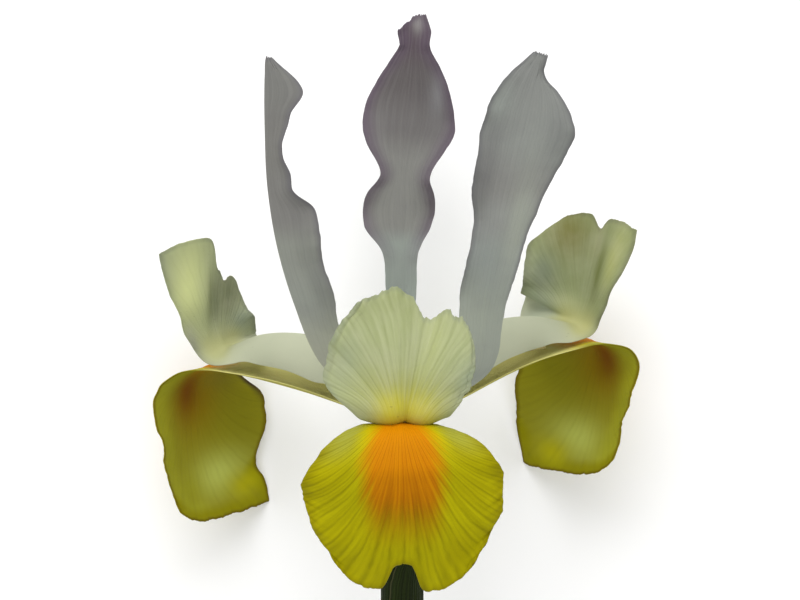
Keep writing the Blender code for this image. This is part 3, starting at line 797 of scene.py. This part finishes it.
def flesh_effect():
    """The fine grain of a petal's cells, and soft blotches. Both are between 0 and 1."""
    wire, given, result = effect("flesh", {"Grain Scale": 2600, "Blotch Scale": 130}, ["Grain", "Blotch"])
    grain = wire.noise(wire.place(), given["Grain Scale"], 2, 0.6)
    blotch = wire.noise(wire.place(), given["Blotch Scale"], 3, 0.55)
    wire.feed(result, {"Grain": grain, "Blotch": blotch})
    return wire.tree


def streaks_effect():
    """Long fine fibres that run along a petal, between 0 and 1. Count is how many cross it."""
    wire, given, result = effect("streaks", {"Across": 0, "Along": 0, "Count": 10}, ["Streak"])
    spot = wire.vector(wire.product(given["Across"], given["Count"]), wire.product(given["Along"], 0.045))
    wire.feed(result, {"Streak": wire.noise(spot, 1, 5, 0.6)})
    return wire.tree


def flecks_effect():
    """Scattered tiny dark scratches, in clusters: 1 on a fleck."""
    wire, given, result = effect("flecks", {"Amount": 0.5}, ["Fleck"])
    askew = {"Vector": wire.place(), "Rotation": (0.3, 0.5, 0.6), "Scale": (1, 3.2, 1.6)}
    cells = {"Vector": wire.node("Mapping", askew), "Scale": 420, "Randomness": 1}
    dot = wire.ease(wire.node("TexVoronoi", cells, "Distance"), 0.10, 0.17, 1, 0)
    least = wire.calc("SUBTRACT", 0.86, wire.product(given["Amount"], 0.3))
    cluster = wire.ease(wire.noise(wire.place(), 95, 2), least, 0.82)
    wire.feed(result, {"Fleck": wire.product(dot, cluster)})
    return wire.tree


EFFECTS = {tree.name: tree for tree in (veins_effect(), flesh_effect(), streaks_effect(), flecks_effect())}


def flesh_layers(wire, across, along, vein_every, fibres, **grain):
    """What most finishes start from: veins, grain with blotches, and fibres, all running along the piece."""
    veins = wire.use("veins", Across=across, Along=along, Every=vein_every)
    streaks = wire.use("streaks", Across=across, Along=along, Count=fibres)
    return veins, wire.use("flesh", **grain), streaks["Streak"]


# ---------------------------------------------------------------- finishes of the petals


def finish_petal(wire, colour, raised, grain, depth, matt=(0.55, 0.7), glow=0.25):
    """Ends a petal's material: soft matt flesh, raised by its veins and grain to a depth in metres, that lets
    a share of the light through."""
    roughness = wire.ease(grain, 0.3, 0.7, *matt)
    normal = wire.bump(wire.calc("ADD", *raised), depth)
    surface = wire.skin(colour, roughness, normal, 0.06)
    through = wire.node("BsdfTranslucent", {"Color": colour, "Normal": normal})
    wire.finish(wire.node("MixShader", {0: glow, 1: surface, 2: through}))


def fall_upper():
    """A fall's face: yellow with fine darker veins, an orange signal that flames down from the knee, bright
    yellow round it, and pale greenish shoulders."""
    material, wire = new_material("fall face")
    side, past, edge, fan = wire.values("side", "past", "edge", "fan")
    veins, flesh, streak = flesh_layers(wire, fan, past, 0.036, 34)
    away = wire.calc("ABSOLUTE", side)

    shoulder = wire.product(
        wire.bell(away, wire.calc("MULTIPLY_ADD", past, 0.6, 7.8), 3),
        wire.ease(past, 10, 3),
        wire.ease(past, -4, 1),
        wire.ease(streak, 0.3, 0.6, 0.6, 1),
    )
    ragged_away = wire.calc("ADD", away, wire.product(wire.calc("SUBTRACT", streak, 0.5), 4.5))
    half_width = wire.calc("ADD", wire.ease(past, -2, 11, 3.9, 7.4), wire.ease(past, 15, 27, 0, -1))
    inside = wire.calc("SUBTRACT", half_width, ragged_away)
    soft = wire.calc("ADD", inside, wire.ease(past, 4, 22, 0, -0.4))
    signal = wire.product(wire.ease(soft, -2, 2.2), wire.ease(past, 27, 15))
    stops = [(1, (236, 150, 2)), (9, (210, 130, 2)), (13, (182, 112, 2)), (20, (138, 88, 2))]
    orange = wire.mix(wire.ease(streak, 0.35, 0.7, 0, 0.5), wire.along_stops(past, stops), (222, 146, 2))

    colour = wire.layered(
        wire.mix(wire.ease(streak, 0.3, 0.7), (160, 153, 2), (188, 181, 6)),
        ((178, 168, 2), wire.ease(flesh["Blotch"], 0.35, 0.7, 0, 0.5)),
        ((144, 134, 3), wire.ease(edge, 3, 0.2, 0, 0.6)),
        ((172, 173, 68), shoulder),
        ((205, 194, 8), wire.ease(inside, -3.6, -0.6), wire.ease(past, 12, 3)),
        (orange, signal),
        (wire.mix(signal, (104, 98, 2), (152, 74, 2)), veins["Line"], wire.ease(past, -3, 6, 0.2, 0.38)),
        # painted light: the haft is painted paler to lift the shade that the style arm casts on it
        ((226, 220, 140), wire.ease(past, -1, -7)),
    )
    raised = wire.product(veins["Swell"], 0.5), wire.product(flesh["Grain"], 0.4)
    finish_petal(wire, colour, raised, flesh["Grain"], 0.0001)
    return material


def fall_under(name, outer):
    """A fall's back: olive yellow, with the signal showing through as a brown patch below the knee, a paler
    band low down that is a painted highlight where the blade turns up to the light, and bright margins that
    are painted highlights where the blade curls towards the light. outer is the side, 1 or -1, that faces
    away from the flower's front."""
    material, wire = new_material(name)
    side, past, edge, fan = wire.values("side", "past", "edge", "fan")
    outwards = wire.product(side, outer)
    veins, flesh, streak = flesh_layers(wire, fan, past, 0.052, 26)
    away = wire.calc("ABSOLUTE", side)
    haft = wire.ease(past, 0, -4)

    # the paler patch low down is a painted highlight where the blade turns up to the light; the brown ones
    # are the signal showing through
    patches = [
        (0.7, (132, 120, 44), (-7, 4), (6.5, 5)),
        (0.9, (148, 124, 4), (0, 10), (8, 6.5)),
        (0.95, (126, 78, 4), (3, 7), (4, 5.6)),
        (0.95, (192, 200, 96), (-4, 26.5), (8.5, 4.6)),
        (0.6, (160, 160, 30), (8, 27), (5, 4)),
    ]
    # painted highlight on the lower corner, where the blade turns up to the light
    lit_corner_highlight = [(0.9, (186, 180, 14), (-10.5, 31.5), (5, 3))]
    colour = wire.layered(
        wire.mix(streak, (142, 137, 26), (156, 151, 34)),
        # painted highlight along the outer margin, where the blade curls towards the light
        ((166, 165, 38), wire.ease(edge, 9, 3.5), wire.ease(outwards, 1, 6), 0.8),
        *wire.spots(outwards, past, patches),
        ((148, 143, 5), wire.ease(wire.calc("ADD", edge, wire.ease(past, 22, 30, 6, 0)), 5.5, 1.5)),
        *wire.spots(outwards, past, lit_corner_highlight),
        ((104, 84, 4), wire.ease(edge, 1.3, 0.1, 0, 0.75)),
        ((70, 56, 40), wire.ease(edge, 2.6, 0.4), wire.bell(past, 6.5, 4), wire.ease(outwards, -6, -11)),
        # painted light: the haft is painted paler against the shade beneath the style arm
        ((192, 187, 100), haft),
        ((140, 144, 66), haft, wire.ease(away, 1.4, 0.2, 0, 0.4)),
        ((176, 122, 4), wire.bell(past, -0.5, 2.4), wire.ease(away, 6.5, 2.5), 0.85),
        ((88, 84, 12), veins["Line"], 0.1),
    )
    raised = wire.product(veins["Line"], 0.5), wire.product(flesh["Grain"], 0.4)
    finish_petal(wire, colour, raised, flesh["Grain"], 0.00008)
    return material


def standard_finish(name, stops, spots, margin, rim):
    """A standard's face: grey lilac, partly its own tone and partly painted shade, greener at its claw and
    darker towards its tip, where the darkening is painted shade, with faint long fibres and a margin of its
    own colour, rim wide, that is partly a lilac tint and partly painted shade where the margin curls away.
    stops are the colours up it, in millimetres."""
    material, wire = new_material(name)
    side, past, edge, across = wire.values("side", "past", "edge", "across")
    veins, flesh, streak = flesh_layers(wire, across, past, 0.14, 11)
    flecks = wire.use("flecks", Amount=0.35)["Fleck"]

    colour = wire.layered(
        wire.along_stops(past, stops),
        *wire.spots(side, past, spots),
        # the margin: partly a lilac tint, partly painted shade where it curls away
        (margin, wire.ease(edge, rim, 0), wire.ease(past, 22, 36), 0.75),
        ((178, 178, 172), wire.ease(streak, 0.35, 0.75, 0, 0.1)),
        ((108, 104, 108), wire.ease(flesh["Blotch"], 0.4, 0.75, 0, 0.12)),
        ((84, 80, 88), veins["Line"], 0.07),
        ((72, 62, 58), flecks, 0.5),
    )
    raised = wire.product(veins["Swell"], 0.3), wire.product(flesh["Grain"], 0.5)
    finish_petal(wire, colour, raised, flesh["Grain"], 0.00008, matt=(0.58, 0.72), glow=0.2)
    return material


def arm_finish(name, crest, spots, lip, rim=(142, 150, 128), ribs=0.2, flecked=0.7):
    """A style arm's face: cream, with a yellow blush where it turns up, and a ribbed greenish crest that goes
    grey at its margins, which is painted shade where the margins turn back from the light."""
    material, wire = new_material(name)
    side, past, edge, fan = wire.values("side", "past", "edge", "fan")
    veins, flesh, streak = flesh_layers(wire, fan, past, 0.075, 24)
    flecks = wire.use("flecks", Amount=flecked)["Fleck"]
    away = wire.calc("ABSOLUTE", side)
    on_crest = wire.ease(past, -3, 3)

    colour = wire.layered(
        wire.mix(on_crest, (193, 197, 171), crest),
        # painted shade: the crest's margins are painted grey where they turn back from the light
        (rim, wire.ease(edge, 1.8, 0.1, 0, 0.7), on_crest),
        *wire.spots(side, past, spots),
        ((214, 218, 176), wire.ease(streak, 0.35, 0.7), on_crest, ribs * 1.6),
        ((120, 126, 74), veins["Line"], on_crest, ribs),
        (lip, wire.bell(past, 0.3, 3.4), wire.ease(away, 8, 3), 0.85),
        ((206, 206, 182), wire.ease(flesh["Blotch"], 0.4, 0.75, 0, 0.15)),
        ((92, 80, 62), flecks, 0.55),
    )
    raised = wire.product(veins["Swell"], on_crest, 0.6), wire.product(flesh["Grain"], 0.4)
    finish_petal(wire, colour, raised, flesh["Grain"], 0.0001)
    return material


# The grey lilac of the standards is partly their own tone and partly painted shade. Their darker tips and the
# darker back standard are painted shade, and their lighter and darker spots are painted light and shade on
# their folds.
STANDARD_FINISHES = {
    "standard_left": {
        "name": "left standard",
        "stops": [(18, (171, 174, 156)), (28, (154, 158, 149)), (40, (147, 150, 141))]
        + [(46, (131, 130, 126)), (60, (125, 124, 119)), (74, (124, 124, 120))],
        "spots": [
            (0.5, (106, 106, 106), (8, 54), (2.2, 9)),
            (0.5, (108, 110, 108), (9, 33), (2, 6)),
        ],
        "margin": (108, 106, 110),
        "rim": 1.6,
    },
    "standard_right": {
        "name": "right standard",
        "stops": [(22, (160, 166, 154)), (36, (148, 154, 149)), (44, (150, 152, 148))]
        + [(50, (141, 141, 137)), (60, (147, 150, 145)), (74, (142, 144, 140))],
        "spots": [
            (0.8, (170, 175, 162), (3.4, 42), (2.6, 12)),
            (0.8, (120, 120, 119), (-6, 50), (2.6, 14)),
            (0.7, (162, 168, 161), (-6, 66.5), (2.4, 4)),
            (0.5, (128, 130, 128), (6.5, 64), (2.6, 6)),
        ],
        "margin": (112, 112, 114),
        "rim": 1.2,
    },
    "standard_back": {
        "name": "back standard",
        "stops": [(20, (150, 158, 150)), (29, (153, 160, 153)), (34, (138, 138, 133)), (46, (137, 137, 132))]
        + [(54, (114, 111, 110)), (64, (98, 93, 93)), (72, (92, 81, 87))],
        "spots": [
            (0.8, (134, 133, 134), (-6, 62), (2, 5)),
            (0.95, (156, 154, 150), (-0.9, 76), (1.5, 2.2)),
        ],
        "margin": (98, 84, 99),
        "rim": 4.2,
    },
}

ARM_FINISHES = {
    "arm face": {
        "crest": (160, 166, 132),
        "spots": [
            (0.6, (222, 228, 202), (7.5, -12), (2.5, 12)),
            (0.6, (222, 228, 202), (-7.5, -12), (2.5, 12)),
        ],
        "lip": (200, 196, 118),
    },
    "front crest": {
        "crest": (173, 181, 131),
        "spots": [
            (0.7, (160, 168, 114), (-5, 21.5), (5, 2.4)),
            (0.6, (188, 195, 131), (2.2, 15), (2.2, 7)),
            # painted shade: these two grey-blue spots at the crest's sides stand for its flaps turning back
            # from the light
            (0.7, (168, 178, 146), (-13, 8), (3, 5.5)),
            (0.7, (158, 170, 148), (9.6, 8), (2.6, 5.5)),
            (0.85, (180, 178, 62), (0, 3), (8.5, 4.8)),
        ],
        "lip": (206, 192, 26),
    },
    # Painted light and shade on the left crest: the pale spot is a painted highlight on its near lobe, and
    # the dark spots are painted shade on its far lobe and along the fold between the lobes.
    "left crest": {
        "crest": (164, 171, 134),
        "spots": [
            (0.9, (122, 126, 98), (-3, 11), (4.4, 6.4)),
            (0.8, (104, 110, 86), (1.2, 10.5), (2, 6)),
            (0.7, (150, 162, 150), (-5.5, 4.6), (2.6, 2.8)),
            (1, (219, 225, 160), (8.2, 14), (4.6, 9.5)),
            (0.8, (120, 125, 96), (-3.2, 12.5), (2.6, 4.5)),
            (0.7, (154, 154, 140), (8, 1.6), (2, 4.5)),
        ],
        "lip": (192, 193, 138),
        "rim": (116, 122, 106),
        "ribs": 0.05,
        "flecked": 1.1,
    },
    # Painted light and shade on the right crest: its lighter and darker spots stand for light and shade on
    # its two lobes and along the fold between them.
    "right crest": {
        "crest": (146, 154, 110),
        "spots": [
            (0.9, (122, 118, 60), (7, 18.5), (5.5, 5)),
            (0.8, (188, 194, 148), (4.5, 3.5), (4.5, 3.2)),
            (0.8, (128, 137, 118), (10.5, 9), (3.6, 5)),
            (0.7, (180, 192, 172), (10.5, 1), (4, 4)),
            (0.9, (182, 186, 120), (-7.5, 15.5), (3.2, 7)),
            (0.7, (168, 168, 130), (-0.6, 18.5), (1.8, 4)),
            (0.9, (120, 127, 76), (-2.8, 12), (1.5, 6)),
        ],
        "lip": (200, 199, 136),
        "rim": (112, 116, 90),
        "ribs": 0.06,
    },
}


# ---------------------------------------------------------------- finishes of the green parts and stamens


def green_finish(name, dark, light, rib_every):
    """A green part's skin: firm, faintly waxy flesh with fine ribs along it, a pale bloom and blemishes."""
    material, wire = new_material(name)
    around, along, worn = wire.values("around", "up", "worn")
    ribs, flesh, streak = flesh_layers(wire, around, along, rib_every, 5, Grain_Scale=3200, Blotch_Scale=110)
    flecks = wire.use("flecks", Amount=0.4)["Fleck"]
    colour = wire.layered(
        wire.mix(wire.ease(streak, 0.3, 0.7), dark, light),
        (dark, ribs["Line"], 0.45),
        (light, wire.ease(flesh["Blotch"], 0.45, 0.75, 0, 0.3)),
        ((148, 138, 96), worn, 0.85),
        ((60, 52, 30), flecks, 0.4),
    )
    height = wire.calc("ADD", wire.product(ribs["Swell"], 0.8), wire.product(flesh["Grain"], 0.4))
    roughness = wire.ease(flesh["Grain"], 0.3, 0.7, 0.42, 0.58)
    wire.finish(wire.skin(colour, roughness, wire.bump(height, 0.00015), 0.1))
    return material


def stamen_finish():
    """A stamen's finish: a smooth pale stalk, and an anther with cream pollen all over it."""
    material, wire = new_material("stamen")
    (dusty,) = wire.values("worn")
    pollen = wire.noise(wire.place(), 4200, 3, 0.7)
    clumps = wire.noise(wire.place(), 1300, 2, 0.6)
    colour = wire.mix(wire.ease(pollen, 0.35, 0.65), (188, 170, 92), (232, 222, 164))
    colour = wire.mix(dusty, (196, 200, 164), colour)
    normal = wire.bump(wire.product(wire.calc("ADD", pollen, clumps), dusty), 0.0002, 1)
    inputs = {"Base Color": colour, "Roughness": 0.85, "Normal": normal, "Sheen Weight": 0.2}
    wire.finish(wire.node("BsdfPrincipled", inputs))
    return material


# ---------------------------------------------------------------- round parts

ROUND_POINTS = 72  # points round a turned part
THREADS_TURN = 20.0  # degrees that count as one step across a round part's ribs


def tube_faces(rows, columns):
    """Faces over a grid of rings, each of which closes on itself."""
    index = np.arange(rows * columns).reshape(rows, columns)
    index = np.hstack([index, index[:, :1]])
    corners = [index[:-1, :-1], index[:-1, 1:], index[1:, 1:], index[1:, :-1]]
    return np.stack(corners, -1).reshape(-1, 4)


def round_part(centre, radius, across, beside):
    """Rings of points round a path. centre, across and beside hold a vector for each ring, and radius a
    number for each ring and angle. The first and last rings are points, so the form is closed."""
    angle = np.linspace(0, TURN, radius.shape[1], endpoint=False)
    ring = np.cos(angle)[None, :, None] * across[:, None] + np.sin(angle)[None, :, None] * beside[:, None]
    points = centre[:, None] + ring * radius[..., None]
    return points.reshape(-1, 3), tube_faces(*radius.shape)


def turned_part(name, profile, material, section, worn=None):
    """A part turned about the flower's axis from (height, radius) points, lowest first, with its own section:
    a factor on the radius at each angle and height. worn(height, radius) tells how dry or cut it is."""
    profile = np.array([(profile[0][0], 0.0), *profile, (profile[-1][0], 0.0)])
    height = profile[:, :1]
    angle = np.linspace(0, TURN, ROUND_POINTS, endpoint=False)[None, :]
    radius = np.repeat(profile[:, 1:], ROUND_POINTS, 1) * section(angle, height)
    centre = np.column_stack([0 * height, 0 * height, height])
    x_axis, y_axis = (np.tile(axis, (len(height), 1)) for axis in ([1.0, 0, 0], [0, 1.0, 0]))
    points, faces = round_part(centre, np.maximum(radius, 1e-4), x_axis, y_axis)
    values = {
        "around": (np.degrees(angle + 0 * height) / THREADS_TURN).ravel(),
        "up": np.repeat(height, ROUND_POINTS),
        "worn": worn(height, radius).ravel() if worn else np.zeros(len(points)),
    }
    return piece(name + "_form", points, faces, [material], [name], values=values)


def fine_profile(points, step=0.6):
    """(height, radius) points with a smooth curve through them, close together."""
    run = run_along(points)
    count = max(2, int(run[-1] / step))
    return smooth(np.column_stack([run, points]), np.linspace(0, run[-1], count))


def stem_piece(material):
    """The cut stem: eleven soft ribs, the swelling where the bracts grow, a clean cut with a paler pith, and
    the slim stalk that carries the ovary."""
    shoulder = SPATHE_FOOT - 3
    rib_count, rib_height = 11, 0.022
    below_cut = [(0.25, 0.25), (0.45, 0.1), (0.8, 0.05), (1.6, 0.05), (4, 0.05), (20, 0.05)]
    length = [
        *[(STEM_CUT + rise, STEM_RADIUS - less) for rise, less in below_cut],
        (shoulder - 8, STEM_RADIUS - 0.05),
        (shoulder - 3.5, STEM_RADIUS + 0.05),
        (shoulder, STEM_RADIUS + 0.65),
        (SPATHE_FOOT - 0.8, STEM_RADIUS + 0.1),
        (SPATHE_FOOT + 6, STEM_RADIUS - 0.1),
        (SPATHE_FOOT + 20, PEDICEL_RADIUS),
        (OVARY_BOTTOM - GAP, PEDICEL_RADIUS - 0.1),
    ]
    cut = [(STEM_CUT, radius) for radius in np.linspace(0.1, STEM_RADIUS - 0.4, 9)]

    def ribbed(angle, height):
        return 1 + rib_height * np.cos(rib_count * angle) * eased(height, STEM_CUT, STEM_CUT + 2)

    def cut_face(height, radius):
        on_cut = 1 - eased(height, STEM_CUT + 0.1, STEM_CUT + 0.5)
        return on_cut * (1 - 0.5 * eased(radius, STEM_RADIUS - 0.9, STEM_RADIUS - 0.3))

    return turned_part("stem", [*cut, *fine_profile(length)], material, ribbed, cut_face)


def ovary_piece(material):
    """The ovary: a three-angled spindle with a groove down each side."""
    top = -HUB_DEPTH - GAP
    up = np.linspace(0, 1, 60)
    around = np.clip(np.sin(math.pi * up), 0, 1) ** 0.62
    profile = np.column_stack([OVARY_BOTTOM + (top - OVARY_BOTTOM) * up, OVARY_RADIUS * around])

    def three_angled(angle, height):
        corner_height, groove_depth = 0.06, 0.05
        corners = corner_height * np.cos(3 * (angle - math.pi / 2))
        grooves = groove_depth * np.maximum(0, np.cos(3 * (angle + math.pi / 2))) ** 8
        return 1 + corners - grooves + 0 * height

    return turned_part("ovary", profile[1:-1], material, three_angled)


def hub_piece(material):
    """The perianth tube: a short funnel with six shallow flutes, one for each petal."""
    funnel = [(-HUB_DEPTH, 2.0), (1.2 - HUB_DEPTH, 2.5), (-2.6, 3.4), (-1.0, 4.6), (-0.45, 5.1), (-0.05, 5.0)]

    def fluted(angle, height):
        depth = 0.03
        return 1 - depth * (1 - np.cos(6 * angle)) / 2 * eased(height, -HUB_DEPTH, -2)

    return turned_part("perianth_tube", fine_profile(funnel, 0.2), material, fluted)


def column_piece(material):
    """The style column: three flutes that widen into the arms' feet."""
    column = [(GAP, COLUMN_RADIUS), (2.4, COLUMN_RADIUS), (3.6, COLUMN_RADIUS + 0.1), (COLUMN_TOP, 2.2)]

    def three_fluted(angle, height):
        depth = 0.07
        return 1 + depth * np.cos(3 * (angle - math.pi / 2)) * eased(height, 1.5, COLUMN_TOP) - depth

    return turned_part("style_column", fine_profile(column, 0.2), material, three_fluted)


# ---------------------------------------------------------------- bracts and stamens

SPATHES = {
    "spathe_outer": {
        "azimuth": 75,
        "radius": OUTER_SPATHE_RADIUS,
        "foot_radius": STEM_RADIUS + 0.45,
        "half_angle": 105,
        "tip": -17.0,
        "seed": 100,
    },
    "spathe_inner": {
        "azimuth": -105,
        "radius": INNER_SPATHE_RADIUS,
        "foot_radius": STEM_RADIUS + 0.25,
        "half_angle": 110,
        "tip": -9.0,
        "seed": 110,
    },
}


def spathe_piece(name, material, azimuth, radius, foot_radius, half_angle, tip, seed):
    """A bract: a sheet rolled round the stem and ovary, ribbed along its length, drawn in to the stem at its
    foot and to a point at its tip, and papery along its margin."""
    rows, columns = 170, 96
    rib_count, rib_height, keel_height, keel_spread = 15, 0.07, 0.12, 0.03
    foot_length, narrows_from, tip_width, waver = 7, 0.74, 0.004, 0.02
    margin_half, body_half, thinning, foot_thinning = 0.06, 0.16, 1.2, 0.6
    dry_margin, dry_tip = 0.2, 0.7
    along = np.linspace(0, 1, rows)[:, None] + np.zeros((1, columns))
    across = np.linspace(-1, 1, columns)[None, :] + np.zeros((rows, 1))
    height = SPATHE_FOOT + (tip - SPATHE_FOOT) * along
    narrowing = np.sqrt(np.clip(1 - eased(along, narrows_from, 1.0) ** 2, tip_width, 1))
    unsteady = np.where(across < 0, ragged(along, seed), ragged(along, seed + 1))
    margin = 1 + waver * unsteady * np.abs(across)
    angle = math.radians(azimuth) + np.radians(half_angle) * across * narrowing * margin
    ribs = rib_height * np.cos(TURN * across * rib_count) * (1 - eased(np.abs(across), 0.9, 1))
    keel = keel_height * hump(across, 0, keel_spread)
    at_foot = eased(height, SPATHE_FOOT + foot_length, SPATHE_FOOT)
    away = radius + ribs + keel - (radius - foot_radius) * at_foot**2
    points = np.stack([away * np.sin(angle), -away * np.cos(angle), height], -1)
    edge = radius * np.radians(half_angle) * narrowing * (1 - np.abs(across))
    half = (margin_half + body_half * (1 - np.exp(-edge / thinning))) * (1 - foot_thinning * at_foot)
    both, faces, _ = blade(points, half)
    dry = np.maximum(dry_margin * (1 - eased(edge, 0.05, 0.4)), dry_tip * eased(along, 0.975, 1.0))
    values = {"around": across * half_angle / THREADS_TURN, "up": height, "worn": dry * 0.8}
    return piece(name + "_form", both, faces, [material], [name], values=on_both_sides(values))


STAMENS = {  # azimuth, how much higher its anther lies, and the seed of its lumps
    "stamen_front": (0, 0.0, 120),
    "stamen_left": (BACK_LEFT, 0.0, 130),
    "stamen_right": (BACK_RIGHT, 2.0, 140),
}


def stamen_piece(name, material, azimuth, rise, seed):
    """A slim stalk, and an anther of two long pollen sacs that lies under the style arm."""
    stalk_foot = [(3.2, GAP), (3.4, 2.0), (4.5, 5.0), (7.0, 8.4), (11.0, 11.0 + rise / 2)]
    level = [(17.0, 12.5), (20.0, 13.0), (22.0, 13.1), (28.0, 13.2), (33.0, 12.9), (35.0, 12.6)]
    route = np.array(stalk_foot + [(out, up + rise) for out, up in level])
    run = run_along(route)
    places = np.linspace(0, run[-1], 180)
    out, up = smooth(np.column_stack([run, route]), places).T
    stalk_radius, stalk_taper, closed = 0.5, 0.12, 1e-3
    sac_middle, sac_half, sac_radius, least = 7.2, 7.6, 1.05, 0.05
    groove_depth, lump_height, lumps_repeat = 0.34, 0.05, 30
    from_tip = run[-1] - places
    on_anther = eased(from_tip, 15.6, 14.2)
    stalk = stalk_radius - stalk_taper * eased(places, 0, run[-1] - 14)
    sac = sac_radius * np.sqrt(np.clip(1 - ((from_tip - sac_middle) / sac_half) ** 2, 0.001, 1)) + least
    size = stalk * (1 - on_anther) + sac * on_anther
    size[0] = size[-1] = closed
    angle = np.linspace(0, TURN, 48, endpoint=False)[None, :]
    two_sacs = 1 - groove_depth * np.abs(np.sin(angle)) ** 6 * on_anther[:, None]
    lumps = ragged(places[:, None] / lumps_repeat + 0 * angle, seed)
    uneven = 1 + lump_height * lumps * on_anther[:, None]
    centre = np.column_stack([0 * out, -out, up])
    forward = np.gradient(centre, axis=0)
    forward /= np.linalg.norm(forward, axis=1, keepdims=True)
    across = np.tile([1.0, 0, 0], (len(out), 1))
    points, faces = round_part(centre, size[:, None] * two_sacs * uneven, across, np.cross(forward, across))
    values = {"worn": np.repeat(on_anther, angle.size)}
    points = points @ about_axis(azimuth)
    return piece(name + "_form", points, faces, [material], [name], values=values)


# ---------------------------------------------------------------- the object


def build_flower():
    """Every piece, in place of the construction's node of the same name."""
    face = fall_upper()
    left_back, right_back = fall_under("left fall back", 1), fall_under("right fall back", -1)
    for name, back in (("fall_front", left_back), ("fall_left", left_back), ("fall_right", right_back)):
        petal_piece(name, face, back)
    for name, settings in STANDARD_FINISHES.items():
        finish = standard_finish(**settings)
        petal_piece(name, finish, finish)
    arm, front, left, right = (arm_finish(name, **settings) for name, settings in ARM_FINISHES.items())
    petal_piece("style_arm_front", arm, front)
    petal_piece("style_arm_left", left, arm)
    petal_piece("style_arm_right", right, arm)

    # painted shade: the stem's green is partly its own dark green and partly painted shade, for the shade it
    # lies in behind the falls
    stem_piece(green_finish("stem skin", (22, 30, 5), (38, 50, 11), 0.8))
    ovary_piece(green_finish("ovary skin", (48, 64, 14), (74, 94, 30), 1.2))
    hub_piece(green_finish("hub skin", (120, 128, 50), (150, 154, 84), 1.5))
    column_piece(green_finish("column skin", (180, 184, 140), (200, 202, 170), 1.5))
    # painted shade: the bracts' green is partly their own dark green and partly painted shade, as the stem's
    bract_skin = green_finish("bract skin", (19, 27, 4), (34, 45, 9), 0.45)
    for name, shape in SPATHES.items():
        spathe_piece(name, bract_skin, **shape)
    pollen = stamen_finish()
    for name, shape in STAMENS.items():
        stamen_piece(name, pollen, *shape)


# ---------------------------------------------------------------- floor, light and camera


def floor():
    """A pale, faintly mottled floor that the flower lies on."""
    bpy.ops.mesh.primitive_plane_add(size=FLOOR_SIZE)
    plane = bpy.context.object
    plane.name = "floor"
    material, wire = new_material("pale floor")
    colour = wire.mix(wire.noise(wire.place(), 14.0, 3), (249, 249, 249), (252, 252, 252))
    wire.finish(wire.node("BsdfPrincipled", {"Base Color": colour, "Roughness": 0.9}))
    plane.data.materials.append(material)


def studio():
    """Even white surroundings, and one large square lamp beyond the flower's top that looks at the bloom."""
    scene = bpy.context.scene
    scene.view_settings.view_transform = "Standard"
    scene.world = bpy.data.worlds.new("studio")
    scene.world.use_nodes = True
    background = scene.world.node_tree.nodes["Background"].inputs
    background["Color"].default_value = WHITE
    background["Strength"].default_value = WORLD_STRENGTH
    lamp = bpy.data.lights.new("key", "AREA")
    lamp.shape = "SQUARE"
    lamp.size = KEY_SIZE
    lamp.energy = KEY_POWER
    key = bpy.data.objects.new("key", lamp)
    scene.collection.objects.link(key)
    key.location = KEY_PLACE
    bloom = LIE @ Vector((0, 0, 20 * MM))
    key.rotation_euler = (bloom - Vector(KEY_PLACE)).to_track_quat("-Z", "Y").to_euler()


def camera():
    """Looks down on the lying flower as one looks at an upright one from a little above its petals."""
    rise = math.radians(CAMERA_RISE)
    back = Vector((0, -math.cos(rise), math.sin(rise)))
    up = Vector((0, math.sin(rise), math.cos(rise)))
    turn = Matrix((Vector((1, 0, 0)), up, back)).transposed().to_4x4()
    place = (Vector((0, 0, CAMERA_AIM)) + back * CAMERA_DISTANCE) * MM
    lens = bpy.data.cameras.new("camera")
    lens.lens = CAMERA_LENS
    obj = bpy.data.objects.new("camera", lens)
    obj.matrix_world = LIE @ Matrix.Translation(place) @ turn
    bpy.context.scene.collection.objects.link(obj)
    bpy.context.scene.camera = obj


build_flower()
floor()
studio()
camera()
